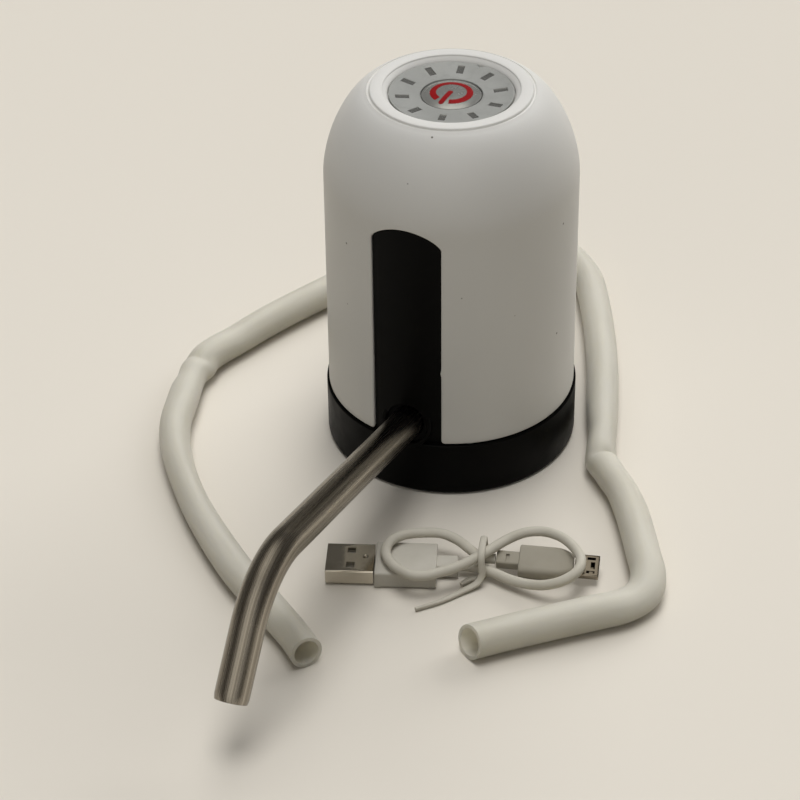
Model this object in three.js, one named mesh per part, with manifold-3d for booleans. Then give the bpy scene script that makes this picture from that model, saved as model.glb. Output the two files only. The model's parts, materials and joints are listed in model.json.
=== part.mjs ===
// Electric water jug pump, in millimetres, +Z up, spout towards -Y.
// The pump stands on its foot ring. Its suction hose and its tied charging lead lie beside it.
// The origin is on the floor, under the middle of the box that pump and spout fill.
import * as THREE from 'three';
import { mergeVertices } from 'three/addons/utils/BufferGeometryUtils.js';
import Module from 'manifold-3d';

const wasm = await Module();
wasm.setup();

// Gaps, joins and facets
const clearance = 0.3;
const overrun = 2;
const bite = 0.4;
const weldTolerance = 0.0001;
const shellSides = 40;
const bodySides = 20;
const smallSides = 12;
const tinySides = 8;

// Outer shell: a drafted tube with a domed crown, a flat rim and a well for the bezel
const shellSetback = 0.63;
const shellDraft = 0.24;
const shellWall = 2.2;
const domeRise = 25.1;
const domeExponent = 1.63;
const domeSteps = 8;
const domeInnerSteps = 4;
const rimOuterRadius = 22.3;
const rimInnerRadius = 18.7;
const rimStep = 0.45;
const rimRound = 0.5;
const wellDepth = 1.7;

// Arched slot in the shell's front
const slotHalfWidth = 10.2;
const slotArchRise = 4.4;
const slotCrownLift = 0.1;
const slotCornerRound = 1.6;
const slotFootRound = 1;

// Foot ring, deck and neck socket
const ringGap = 3.85;
const baseHeight = 17.1;
const baseWall = 2.2;
const baseFootRound = 1.4;
const baseTopRound = 0.4;
const neckSocketRadius = 28.2;
const neckSocketWall = 2;
const neckLeadIn = 0.8;
const deckUnderside = 10.8;
const deckThickness = 2;
const ribCount = 12;
const ribThickness = 1.2;
const ribRecess = 1.5;
const spigotWall = 1.5;
const spigotHeight = 3;

// Front strip and the spout's boss on it
const stripRecess = 0.6;
const stripThickness = 2.5;
const bossRadius = 7.5;
const bossProud = 0;
const bossRimWidth = 1.3;
const bossDishDepth = 1.1;

// Gasket that the bottle's neck meets
const gasketWidth = 4.7;
const gasketThickness = 1.6;

// Nipple under the deck that the suction hose is pushed on
const nippleBoreRadius = 1.8;
const nippleStemRadius = 3.3;
const nippleBarbRadius = 4.05;
const nippleBarbCount = 3;
const nippleBarbPitch = 2.4;
const nippleFlangeRadius = 6.8;
const nippleFlangeThickness = 1.6;
const nippleFootHeight = 1;
const nippleStubReach = 6.5;
const barbShare = 0.7;
const nippleSides = 12;

// Bent stainless spout and its socket
const spoutRadius = 4.5;
const spoutWall = 0.55;
const spoutRise = THREE.MathUtils.degToRad(12.7);
const spoutRootHeight = 22.6;
const spoutInsert = 9.4;
const spoutStraight = 81.9;
const spoutBendRadius = 24;
const spoutBendTurn = THREE.MathUtils.degToRad(64.7);
const spoutTip = 19;
const spoutSides = 20;
const spoutBendSteps = 9;
const socketRadius = 7;
const socketBack = 1.4;
const socketBarbLength = 6;
const socketBoreRadius = 1.5;
const oRingSection = 0.5;
const oRingSetback = 2.6;

// Screws: radius of the shank, radius and height of the head
const shankRadius = 0.9;
const headRadius = 1.75;
const headHeight = 1.4;
const longShankRadius = 1.2;
const longHeadRadius = 2.3;
const shellScrewLength = 12;
const shellScrewCount = 3;
const shellScrewTurn = THREE.MathUtils.degToRad(60);
const shellPostWall = 1.2;
const shellPostTop = 26;
const chassisScrewLength = 13;
const boardScrewLength = 6;
const mountScrewLength = 5.5;

// Bezel, button and the switch board below them
const bezelRadius = 17.1;
const bezelThickness = 1.2;
const bezelRecess = 1.2;
const bezelEdgeRound = 0.25;
const tickCount = 10;
const tickInnerRadius = 11.6;
const tickOuterRadius = 15.3;
const tickWidth = 1.8;
const tickDepth = 0.35;
const tickTurn = THREE.MathUtils.degToRad(10.5);
const ledgeInnerRadius = 15.2;
const ledgeThickness = 1.6;
const buttonRadius = 8.2;
const buttonCrown = 0.75;
const buttonEdgeDrop = 0.15;
const buttonCrownSteps = 4;
const buttonFlangeWidth = 1.3;
const buttonFlangeThickness = 1;
const buttonStemRadius = 2.4;
const plungerRadius = 1.5;
const plungerProud = 1.2;
const plungerDepth = 2;
const switchSide = 6;
const switchHeight = 3.6;
const boardThickness = 1.6;
const boardPostRadius = 2.2;
const boardPostLength = 5;
const boardPostLap = 1.1;
const boardRim = 2.2;
const boardLift = 12.1;
const ledSide = 2.8;
const ledHeight = 1.2;
const ledOffset = 7.5;

// Pump and motor, one stack on one axis
const pumpX = -5.5;
const pumpY = 2;
const pumpRadius = 13.5;
const barbGap = 5;
const pumpBarbLength = 7;
const pumpBarbRadius = 2.6;
const pumpBoreRadius = 1.5;
const headThickness = 6;
const chamberRadius = 9.4;
const chamberDepth = 2.4;
const chamberRib = 1.6;
const plateThickness = 2.5;
const cupCount = 3;
const cupCircle = 6;
const cupRadius = 3.5;
const cupHeight = 2.2;
const cupWall = 0.7;
const diaphragmThickness = 1.6;
const cupStemRadius = 0.9;
const cupStemLength = 3.2;
const portRadius = 0.8;
const crankcaseHeight = 14.5;
const crankcaseWall = 1.6;
const crankcaseRoof = 2.5;
const earReach = 17.6;
const earWidth = 5.6;
const earCircle = 15.4;
const earTurn = THREE.MathUtils.degToRad(150);
const pumpScrewCircle = 11.6;
const pumpScrewTurn = THREE.MathUtils.degToRad(70);
const pumpScrewBite = 7;
const pumpScrewBossWall = 0.8;
const yokeLift = 0.6;
const yokeThickness = 1.7;
const yokeArmWidth = 3.6;
const yokeHubHeight = 5;
const yokeHubWall = 0.9;
const pinRadius = 0.7;
const pinFootOffset = 0.9;
const pinTilt = THREE.MathUtils.degToRad(13);
const pinLength = 6.4;
const pinFootLift = 1.2;
const crankRadius = 4.4;
const crankHeight = 3.6;

// Motor
const motorRadius = 12.2;
const motorLength = 30.8;
const motorWall = 0.8;
const motorFloor = 1;
const motorNoseRadius = 3;
const motorNoseHeight = 1.4;
const shaftRadius = 1;
const shaftGrip = 2.6;
const magnetThickness = 2;
const magnetHeight = 16;
const magnetLift = 4;
const magnetSpan = THREE.MathUtils.degToRad(130);
const airGap = 0.6;
const poleCount = 3;
const poleSlotWidth = 2.2;
const poleSlotFloor = 4.4;
const commutatorRadius = 2.6;
const commutatorHeight = 4;
const endCapThickness = 3;
const endCapHubRadius = 4;
const endCapHubHeight = 1.6;
const terminalCircle = 7.5;
const terminalWidth = 2.2;
const terminalThickness = 0.6;
const terminalHeight = 4;

// Chassis plate that carries motor and cell
const chassisThickness = 2;
const legRadius = 2.6;
const legInset = 1.4;
const legTurns = [100, 215, 320].map(THREE.MathUtils.degToRad);
const wireNotchWidth = 10;
const wireNotchReach = 24;

// Lithium cell and its tabs
const cellInset = 1.7;
const cellTurn = THREE.MathUtils.degToRad(22.3);
const cellRadius = 9.2;
const cellLength = 65;
const cellEdgeRound = 0.6;
const tabWidth = 5;
const tabThickness = 0.5;
const tabReach = 12.5;
const tabLap = 2.3;
const collarWall = 1.2;
const collarHeight = 3;

// Charging board and its socket
const chargeBoardWidth = 16;
const chargeBoardDepth = 9.4;
const chargeBoardInset = 1.5;
const chargeBoardHeight = 28;
const chargePostRadius = 1.8;
const chargePostSpacing = 11;
const chargePinRadius = 0.8;
const portWidth = 7.6;
const portHeight = 2.7;
const portDepth = 5.2;
const portWall = 0.4;
const portRecessMargin = 1.5;
const portRecessDepth = 0.9;
const portRoundShare = 0.25;

// Soft tubes inside, and insulated leads
const hoseWall = 1.3;
const sleeveSides = 10;
const outletHoseSteps = 12;
const leadRadius = 0.6;
const leadSides = 6;
const leadSteps = 8;

// Suction hose that lies on the floor
const suctionHoseRadius = 4.75;
const suctionHoseWall = 1;
const suctionHoseSides = 10;
const suctionHoseSteps = 28;

// Charging lead, its plugs and its tie
const leadOuterRadius = 1.4;
const usbCableSides = 6;
const usbCableSteps = 56;
const usbShellLength = 13.1;
const usbShellWidth = 12;
const usbShellHeight = 4.5;
const usbShellWall = 0.4;
const usbMouldLength = 16.8;
const usbMouldWidth = 14;
const usbMouldHeight = 5.3;
const usbMouldRound = 1;
const usbReliefLength = 5.8;
const usbReliefRadius = 2.1;
const usbTongueHeight = 1.9;
const usbTongueLength = 9;
const microShellLength = 6.6;
const microShellWidth = 6.9;
const microShellHeight = 1.9;
const microMouldLength = 14.9;
const microMouldWidth = 9;
const microMouldHeight = 4.8;
const microMouldRound = 1.4;
const microReliefLength = 6.2;
const microReliefRadius = 1.9;
const tieWidth = 2;
const tieThickness = 0.7;
const tieSpan = 11;
const tieHeight = 10;
const tieRound = 3.4;
const tieLift = 0.1;

// Places where the loose pieces lie, measured from the pump's axis
const usbPlugPlace = [-6.5, -77.3];
const usbPlugTurn = THREE.MathUtils.degToRad(19);
const microPlugPlace = [63.8, -53.6];
const microPlugTurn = THREE.MathUtils.degToRad(193.5);
const microPlugRoll = THREE.MathUtils.degToRad(-20);
const tiePlace = [34, -62.3];
const tieTurn = THREE.MathUtils.degToRad(17);

// The suction hose's route over the floor, chosen by hand
const suctionHoseRoute = [
  [4.1, -114.7], [-2.3, -109.2], [-10, -103.6], [-18.3, -97.7], [-27.5, -90.8], [-45.8, -74.1],
  [-55, -64], [-63.3, -53.2], [-70.2, -42], [-75.3, -31], [-78.6, -20], [-79.2, -10], [-77, 0.5],
  [-69.3, 20], [-64.6, 30.5], [-51.5, 57.5], [-43.9, 73.5], [-35.5, 86],
  [-23.5, 93.5], [-9.5, 95], [4, 90.3], [14.6, 80.4], [21.9, 67], [33.7, 38.9],
  [41.2, 16.5], [44.3, 5], [47.6, -5.6], [53, -13.4], [59, -20], [64.5, -28], [69.2, -36.5], [73.6, -45],
  [77.3, -52.5], [78.3, -59.6], [75.2, -66.2], [69, -72.3], [60.5, -79.6], [51.1, -87.6], [42.2, -95.6],
];

// The charging lead's route: out of the large plug, a figure of eight, into the small plug
const usbCableRoute = [
  [33.8, -64.5, 2.8], [37.5, -64.8, 2.8], [42.5, -65.9, 2.8], [48, -66.8, 3.6], [53.1, -67.2, 5.2],
  [57.6, -65.8, 7], [60.4, -62.6, 8.5], [60, -58.1, 8.9], [56.4, -53.6, 8.9], [51.4, -50.3, 8.6],
  [46.1, -49.5, 8.2], [41.6, -51.2, 7.8], [38.2, -54.9, 7.4], [36, -59.2, 7.4], [34.1, -63.2, 7.4],
  [31.7, -67.4, 7.3], [29.1, -71, 7.1], [26, -74.2, 7], [23.2, -76.9, 7.1], [19.4, -78.4, 7.1],
  [15.1, -77.6, 7.1], [11.1, -75.1, 7.1], [8.6, -71.4, 7.1], [8.4, -67.1, 7.1], [11, -63.2, 7.1],
  [15.2, -60.7, 7.1], [20, -58.9, 6.9], [24.7, -59.1, 6.2], [28.2, -59.9, 5], [31, -60.6, 4],
];

// The tie's tail, over the floor
const tieTailRoute = [[34, -62.3], [34.9, -65.6], [34, -69], [31.4, -73], [27.6, -78.6], [22.8, -84.1]];

// The outlet hose's elbow and its way round to the socket
const outletHoseRoute = [[-11, 2.6, 19.8], [-10.6, -1.6, 17.5], [-8.4, -6.6, 17.3], [-4, -11.4, 17.5]];

// Inner leads, from the pump's axis
const switchCableRoute = [
  [3, 24.5, 30.2], [3, 26.5, 38], [3, 27.4, 55], [3, 27, 78], [3, 22, 92], [3, 15, 99.5],
];
const motorLeadRoutes = {
  red: [[2.4, 2.6, 93.5], [3.6, 4.4, 95.8], [4.4, 5.8, 97.6], [4.5, 6.5, 99.5]],
  black: [[-13.3, 2.6, 93.5], [-12.8, 4.4, 95.8], [-12, 5.8, 97.6], [-11.5, 6.5, 99.5]],
};
const cellLeadRoutes = {
  red: [[14.5, 8, 80.5], [14, 8.3, 84], [12.5, 9.5, 90], [10.5, 10.5, 95.5], [10, 11, 99.5]],
  black: [[19.5, 20.6, 14.7], [17.4, 21.6, 17], [12.4, 22.6, 21], [8.4, 24, 25], [7.3, 24.3, 27.3]],
};

// Levels and radii that follow from the sizes above
const baseRadius = neckSocketRadius + neckSocketWall + ringGap + baseWall;
const shellFootRadius = baseRadius - shellSetback;
const shellShoulderRadius = shellFootRadius - shellDraft;
const gasketInnerRadius = neckSocketRadius - clearance - gasketWidth;
const legCircle = gasketInnerRadius - longHeadRadius - legInset;
const deckTop = deckUnderside + deckThickness;
const shellFootHeight = baseHeight + clearance;
const spigotRadius = shellFootRadius - shellWall - clearance;
const stripRadius = shellShoulderRadius - stripRecess;
const stripInnerRadius = stripRadius - stripThickness;
const screwCircle = (neckSocketRadius + neckSocketWall + baseRadius - baseWall) / 2;
const shellPostRadius = longShankRadius + clearance + shellPostWall;
const wellRadius = bezelRadius + clearance;
const boardPostCircle = ledgeInnerRadius + boardPostLap;
const boardRadius = boardPostCircle + boardRim;
const nippleTop = deckTop + nippleStubReach;
const pumpBarbFoot = nippleTop + barbGap;
const headBottom = pumpBarbFoot + pumpBarbLength;
const valvePlateBottom = headBottom + headThickness + clearance;
const diaphragmBottom = valvePlateBottom + plateThickness + clearance;
const crankcaseBottom = diaphragmBottom + diaphragmThickness + clearance;
const crankcaseTop = crankcaseBottom + crankcaseHeight;
const chassisBottom = crankcaseTop + clearance;
const chassisTop = chassisBottom + chassisThickness;
const chassisRadius = stripInnerRadius - clearance;
const cellCircle = chassisRadius - cellRadius - cellInset;
const cellX = cellCircle * Math.cos(cellTurn);
const cellY = cellCircle * Math.sin(cellTurn);
const motorBottom = crankcaseTop + clearance;
const motorTop = motorBottom + motorLength;
const boardUnderside = motorTop + boardLift;
const boardTop = boardUnderside + boardThickness;
const switchTop = boardTop + clearance + switchHeight;
const plungerTop = switchTop + plungerProud;
const ledgeUnderside = boardTop + clearance + boardPostLength;
const wellFloor = ledgeUnderside + ledgeThickness;
const bezelTop = wellFloor + clearance + bezelThickness;
const shellCrownHeight = bezelTop + bezelRecess;
const shellShoulderHeight = shellCrownHeight - domeRise;
const slotCrownHeight = shellShoulderHeight + slotCrownLift;
const yokeBottom = diaphragmBottom + diaphragmThickness + cupHeight + yokeLift;
const yokeTop = yokeBottom + yokeHubHeight;
const pinTurnRadius = pinFootOffset + (yokeHubHeight - pinFootLift) * Math.tan(pinTilt);
const yokeHubRadius = pinTurnRadius + pinRadius + clearance * 2 + yokeHubWall;
const crankTop = crankcaseTop - crankcaseRoof - clearance;
const crankBottom = crankTop - crankHeight;
const armatureBottom = motorBottom + motorFloor + magnetLift;
const armatureRadius = motorRadius - motorWall - clearance - magnetThickness - airGap;
const cellBottom = deckTop + clearance + tabThickness + clearance;
const cellTop = cellBottom + cellLength;
const chargeBoardTop = chargeBoardHeight + boardThickness;
const chargeBoardOuterY = spigotRadius - chargeBoardInset;
const portLevel = chargeBoardTop + clearance + portHeight / 2;
const portFaceY = Math.sqrt(spigotRadius ** 2 - (portWidth / 2) ** 2) - clearance;
const spoutReach = stripRadius + spoutStraight * Math.cos(spoutRise)
  + spoutBendRadius * (Math.sin(spoutBendTurn - spoutRise) + Math.sin(spoutRise))
  + spoutTip * Math.cos(spoutBendTurn - spoutRise) + spoutRadius * Math.sin(spoutBendTurn - spoutRise);
const pumpAxisY = (spoutReach - baseRadius) / 2;

// Finishes
const whitePlastic = finish(0xe9e7e1, 0.45, 0);
const blackPlastic = finish(0x131313, 0.5, 0);
const silverPlate = finish(0xb4b6b4, 0.35, 0.7);
const silverButton = finish(0xc4c6c4, 0.25, 0.7);
const stainless = finish(0x8d877c, 0.3, 1);
const steel = finish(0xb9bcc0, 0.35, 1);
const darkSteel = finish(0x55585c, 0.4, 1);
const brass = finish(0xc9a24b, 0.35, 1);
const copper = finish(0xb0683b, 0.4, 1);
const ferrite = finish(0x2c2c2e, 0.7, 0);
const siliconeRubber = finish(0xd9dcd2, 0.5, 0);
const greyRubber = finish(0x8f9390, 0.7, 0);
const naturalNylon = finish(0xe3dcc8, 0.5, 0);
const circuitBoard = finish(0x1f6a3c, 0.5, 0);
const cellWrap = finish(0x2f6fb2, 0.45, 0);
const redInsulation = finish(0xb3272a, 0.5, 0);
const blackInsulation = finish(0x1d1d1d, 0.5, 0);
const leadPlastic = finish(0xd3d0c6, 0.5, 0);
const nickel = finish(0xc9c6bd, 0.25, 1);

function finish(color, roughness, metalness) {
  return new THREE.MeshStandardMaterial({ color, roughness, metalness });
}

// The group that the pump's own axis runs through, x = 0 and y = 0
const part = new THREE.Group();
const pump = new THREE.Group();
pump.position.y = pumpAxisY;
part.add(pump);

function add(name, geometry, material, parent = pump) {
  const mesh = new THREE.Mesh(geometry, material);
  mesh.name = name;
  parent.add(mesh);
  return mesh;
}

// Joins coincident corners, drops collapsed triangles and turns the faces outwards.
function weld(geometry) {
  const bare = geometry.clone();
  bare.deleteAttribute('normal');
  bare.deleteAttribute('uv');
  const merged = mergeVertices(bare, weldTolerance);
  const place = merged.attributes.position.array;
  const from = merged.index.array;
  const corners = [];
  let volume = 0;
  for (let i = 0; i < from.length; i += 3) {
    const [a, b, c] = [from[i], from[i + 1], from[i + 2]];
    if (a === b || b === c || c === a) continue;
    corners.push(a, b, c);
    const [p, q, r] = [a, b, c].map((k) => new THREE.Vector3().fromArray(place, k * 3));
    volume += p.dot(q.cross(r));
  }
  if (volume < 0) corners.reverse();
  merged.setIndex(corners);
  return merged;
}

function toSolid(geometry) {
  const { attributes, index } = weld(geometry);
  const vertProperties = new Float32Array(attributes.position.array);
  const triVerts = new Uint32Array(index.array);
  return new wasm.Manifold(new wasm.Mesh({ numProp: 3, vertProperties, triVerts }));
}

function toGeometry(solid) {
  const mesh = solid.getMesh();
  const geometry = new THREE.BufferGeometry();
  geometry.setAttribute('position', new THREE.BufferAttribute(new Float32Array(mesh.vertProperties), 3));
  geometry.setIndex(Array.from(mesh.triVerts));
  return geometry;
}

// One solid: the pieces joined, less the cutters.
function carve(pieces, cutters = []) {
  let solid = pieces.map(toSolid).reduce((whole, next) => whole.add(next));
  for (const cutter of cutters) solid = solid.subtract(toSolid(cutter));
  return toGeometry(solid);
}

function common(first, second) {
  return toGeometry(toSolid(first).intersect(toSolid(second)));
}

// A closed profile of [radius, height] pairs turned about Z.
function turned(profile, sides = bodySides) {
  const points = profile.map(([radius, height]) => new THREE.Vector2(radius, height));
  if (profile[0][0] > 0) points.push(points[0].clone());
  return weld(new THREE.LatheGeometry(points, sides).rotateX(Math.PI / 2));
}

function rod(radius, bottom, top, sides = smallSides) {
  return turned([[0, bottom], [radius, bottom], [radius, top], [0, top]], sides);
}

function pipe(innerRadius, outerRadius, bottom, top, sides = bodySides) {
  return turned([
    [innerRadius, bottom], [outerRadius, bottom], [outerRadius, top], [innerRadius, top],
  ], sides);
}

// A block centred on x and y, standing on its lowest height.
function block(width, depth, bottom, top) {
  return new THREE.BoxGeometry(width, depth, top - bottom).translate(0, 0, (bottom + top) / 2);
}

function at(geometry, x, y, z = 0) {
  return geometry.translate(x, y, z);
}

// Copies of a piece around Z, at a radius, the first at the turn given.
function around(count, radius, firstTurn, make) {
  return Array.from({ length: count }, (_, i) => {
    const turn = firstTurn + (i * 2 * Math.PI) / count;
    return make(i, turn).rotateZ(turn).translate(radius * Math.cos(turn), radius * Math.sin(turn), 0);
  });
}

function onCircle(radius, turn) {
  return [radius * Math.cos(turn), radius * Math.sin(turn)];
}

function polygon(radius, sides) {
  const corners = Array.from({ length: sides }, (_, i) => {
    const turn = (i * 2 * Math.PI) / sides;
    return new THREE.Vector2(radius * Math.cos(turn), radius * Math.sin(turn));
  });
  return corners;
}

// A round tube or cord along a curve, with a bore where one is given.
function alongCurve(curve, radius, sides, steps, boreRadius = 0) {
  const section = new THREE.Shape(polygon(radius, sides));
  if (boreRadius > 0) section.holes.push(new THREE.Path(polygon(boreRadius, sides)));
  return weld(new THREE.ExtrudeGeometry(section, { steps, extrudePath: curve, bevelEnabled: false }));
}

function route(points) {
  const places = points.map(([x, y, z]) => new THREE.Vector3(x, y, z));
  return new THREE.CatmullRomCurve3(places, false, 'centripetal');
}

// A rectangle with round corners, as a shape.
function roundedRectangle(width, height, round) {
  const shape = new THREE.Shape();
  const [x, y] = [width / 2, height / 2];
  shape.moveTo(-x + round, -y);
  shape.lineTo(x - round, -y);
  shape.absarc(x - round, -y + round, round, -Math.PI / 2, 0, false);
  shape.lineTo(x, y - round);
  shape.absarc(x - round, y - round, round, 0, Math.PI / 2, false);
  shape.lineTo(-x + round, y);
  shape.absarc(-x + round, y - round, round, Math.PI / 2, Math.PI, false);
  shape.lineTo(-x, -y + round);
  shape.absarc(-x + round, -y + round, round, Math.PI, Math.PI * 1.5, false);
  return shape;
}

// The slot's arched outline pushed through the front, from the axis outwards.
function archPrism(inset, footHeight, footFlare) {
  const halfWidth = slotHalfWidth - inset;
  const crown = slotCrownHeight - inset;
  const archRadius = (slotHalfWidth ** 2 + slotArchRise ** 2) / (2 * slotArchRise) - inset;
  const cornerX = halfWidth - slotCornerRound;
  const cornerTurn = Math.acos(cornerX / archRadius);
  const archCentre = crown - archRadius;
  const sideTop = archCentre + Math.sqrt(archRadius ** 2 - halfWidth ** 2) - slotCornerRound / 2;
  const shape = new THREE.Shape();
  shape.moveTo(-halfWidth - footFlare, footHeight);
  shape.lineTo(halfWidth + footFlare, footHeight);
  if (footFlare > 0) {
    shape.lineTo(halfWidth + footFlare, shellFootHeight);
    shape.quadraticCurveTo(halfWidth, shellFootHeight, halfWidth, shellFootHeight + footFlare);
  }
  shape.lineTo(halfWidth, sideTop);
  const cornerTop = archCentre + archRadius * Math.sin(cornerTurn);
  shape.quadraticCurveTo(halfWidth, sideTop + slotCornerRound / 2, cornerX, cornerTop);
  shape.absarc(0, archCentre, archRadius, cornerTurn, Math.PI - cornerTurn, false);
  shape.quadraticCurveTo(-halfWidth, sideTop + slotCornerRound / 2, -halfWidth, sideTop);
  if (footFlare > 0) {
    shape.lineTo(-halfWidth, shellFootHeight + footFlare);
    shape.quadraticCurveTo(-halfWidth, shellFootHeight, -halfWidth - footFlare, shellFootHeight);
  }
  const depth = baseRadius + overrun;
  return new THREE.ExtrudeGeometry(shape, { depth, bevelEnabled: false, curveSegments: 4 })
    .rotateX(Math.PI / 2);
}

// The dome's outline from its shoulder to its crown: a superellipse between the radii and heights given.
function domeOutline(steps, shoulderRadius, crownRadius, shoulderHeight, crownHeight) {
  return Array.from({ length: steps + 1 }, (_, i) => {
    const turn = (i / steps) * (Math.PI / 2);
    const spread = Math.cos(turn) ** (2 / domeExponent);
    const lift = Math.sin(turn) ** (2 / domeExponent);
    return [
      crownRadius + (shoulderRadius - crownRadius) * spread,
      shoulderHeight + (crownHeight - shoulderHeight) * lift,
    ];
  });
}

// A pan-head screw, head down, whose head lies under the level given.
function screw(level, length, shank = shankRadius, head = headRadius) {
  return turned([
    [0, level - headHeight], [head, level - headHeight], [head, level],
    [shank, level], [shank, level + length], [0, level + length],
  ], smallSides);
}

// Outer shell
const shellScrewSpots = Array.from({ length: shellScrewCount }, (_, i) => (
  onCircle(screwCircle, shellScrewTurn + (i * 2 * Math.PI) / shellScrewCount)));

function outerShell() {
  const outside = domeOutline(
    domeSteps, shellShoulderRadius, rimOuterRadius, shellShoulderHeight, shellCrownHeight - rimStep,
  );
  const inside = domeOutline(
    domeInnerSteps, shellShoulderRadius - shellWall, rimOuterRadius - shellWall,
    shellShoulderHeight, shellCrownHeight - shellWall,
  ).reverse();
  const body = turned([
    [shellFootRadius - shellWall, shellFootHeight], [shellFootRadius, shellFootHeight],
    ...outside,
    [rimOuterRadius, shellCrownHeight - rimRound / 2], [rimOuterRadius - rimRound, shellCrownHeight],
    [rimInnerRadius + rimRound, shellCrownHeight], [rimInnerRadius, shellCrownHeight - rimRound / 2],
    [wellRadius, shellCrownHeight - wellDepth], [wellRadius, wellFloor], [ledgeInnerRadius, wellFloor],
    [ledgeInnerRadius, ledgeUnderside], [wellRadius + shellWall, ledgeUnderside],
    ...inside,
  ], shellSides);
  const screwPosts = shellScrewSpots.map(([x, y]) => (
    at(rod(shellPostRadius, deckTop + clearance, shellPostTop), x, y)));
  const boardPosts = [-boardPostCircle, boardPostCircle].map((x) => (
    at(rod(boardPostRadius, boardTop + clearance, ledgeUnderside + bite), x, 0)));
  const postRoom = rod(shellFootRadius - bite, deckTop, shellPostTop + overrun, shellSides);
  const portHole = portCutter(clearance, shellWall + overrun * 2, -overrun);
  const portRecess = portCutter(portRecessMargin, overrun * 2, shellWall - portRecessDepth);
  return carve([body, common(carve(screwPosts), postRoom), ...boardPosts], [
    archPrism(0, deckTop - overrun, slotFootRound),
    ...shellScrewSpots.map(([x, y]) => (
      at(rod(longShankRadius + clearance, 0, shellPostTop - bite * 2), x, y))),
    ...[-boardPostCircle, boardPostCircle].map((x) => (
      at(rod(shankRadius + clearance, 0, boardTop + clearance + boardScrewLength - boardThickness), x, 0))),
    portHole, portRecess,
  ]);
}

// A round-cornered block a margin larger than the charging port, from the shell's inner face outwards.
function portCutter(margin, depth, start) {
  const height = portHeight + margin * 2;
  const shape = roundedRectangle(portWidth + margin * 2, height, height * portRoundShare);
  const prism = new THREE.ExtrudeGeometry(shape, { depth, bevelEnabled: false, curveSegments: 1 });
  return prism.rotateX(-Math.PI / 2).translate(0, spigotRadius + clearance + start, portLevel);
}

add('outer_shell', outerShell(), whitePlastic);

// Foot ring with its deck, neck socket, front strip and spout boss, one moulding
function alongRoot(geometry) {
  return geometry.rotateX(Math.PI / 2 - spoutRise).translate(0, -stripRadius, spoutRootHeight);
}

function baseBody() {
  const round = Array.from({ length: 4 }, (_, i) => {
    const turn = (i / 3) * (Math.PI / 2);
    return [baseRadius - baseFootRound * (1 - Math.sin(turn)), baseFootRound * (1 - Math.cos(turn))];
  });
  const socketOuter = neckSocketRadius + neckSocketWall;
  const bowl = turned([
    [nippleStemRadius + clearance * 2, deckUnderside], [neckSocketRadius, deckUnderside],
    [neckSocketRadius, neckLeadIn], [neckSocketRadius + neckLeadIn, 0], [socketOuter, 0],
    [socketOuter, deckUnderside], [baseRadius - baseWall, deckUnderside], [baseRadius - baseWall, 0],
    ...round,
    [baseRadius, baseHeight - baseTopRound], [baseRadius - baseTopRound, baseHeight],
    [spigotRadius, baseHeight],
    [spigotRadius, baseHeight + spigotHeight], [spigotRadius - spigotWall, baseHeight + spigotHeight],
    [spigotRadius - spigotWall, deckTop], [nippleStemRadius + clearance * 2, deckTop],
  ], shellSides);
  const ribs = around(ribCount, (socketOuter + baseRadius - baseWall) / 2, Math.PI / ribCount, () => (
    block(baseRadius - baseWall - socketOuter + bite * 2, ribThickness, ribRecess, deckUnderside + bite)));
  const strip = common(
    pipe(stripInnerRadius, stripRadius, deckTop - bite, slotCrownHeight + overrun, shellSides),
    archPrism(clearance, deckTop - overrun, 0),
  );
  const boss = alongRoot(rod(bossRadius, -stripThickness, bossProud, bodySides));
  const collar = at(pipe(cellRadius + clearance, cellRadius + clearance + collarWall,
    deckTop - bite, deckTop + collarHeight, bodySides), cellX, cellY);
  const postY = chargeBoardOuterY - chargeBoardDepth / 2;
  const posts = [-chargePostSpacing / 2, chargePostSpacing / 2].flatMap((x) => [
    at(rod(chargePostRadius, deckTop - bite, chargeBoardHeight - clearance), x, postY),
    at(rod(chargePinRadius, chargeBoardHeight - bite, chargeBoardTop + clearance, tinySides), x, postY),
  ]);
  return carve([bowl, strip, boss, collar, ...ribs, ...posts], [
    alongRoot(rod(bossRadius - bossRimWidth, bossProud - bossDishDepth, bossProud + overrun, bodySides)),
    alongRoot(rod(spoutRadius + clearance, -stripThickness * 2, bossProud + overrun, spoutSides)),
    alongRoot(rod(socketRadius + clearance, -socketRadius, -stripThickness - clearance, bodySides)),
    ...shellScrewSpots.flatMap(([x, y]) => [
      at(rod(shellPostRadius + clearance, deckTop, baseHeight + spigotHeight + overrun), x, y),
      at(rod(longShankRadius + clearance, 0, baseHeight), x, y),
      at(rod(headRadius + clearance, 0, deckUnderside), x, y),
    ]),
    ...legTurns.map((turn) => (
      at(rod(longShankRadius + clearance, 0, baseHeight), ...onCircle(legCircle, turn)))),
    at(block(tabWidth + clearance * 2, collarWall + overrun * 2, deckTop, deckTop + collarHeight / 2),
      cellX, cellY + cellRadius + collarWall / 2),
  ]);
}

add('base_body', baseBody(), blackPlastic);

shellScrewSpots.forEach(([x, y], i) => {
  const piece = screw(deckUnderside - clearance, shellScrewLength, longShankRadius, headRadius);
  add(`shell_screw_${i + 1}`, at(piece, x, y), steel);
});

add('neck_gasket', turned([
  [gasketInnerRadius, deckUnderside - clearance - gasketThickness],
  [neckSocketRadius - clearance - gasketThickness / 2, deckUnderside - clearance - gasketThickness],
  [neckSocketRadius - clearance, deckUnderside - clearance - gasketThickness / 2],
  [neckSocketRadius - clearance, deckUnderside - clearance], [gasketInnerRadius, deckUnderside - clearance],
], shellSides), greyRubber);

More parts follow.
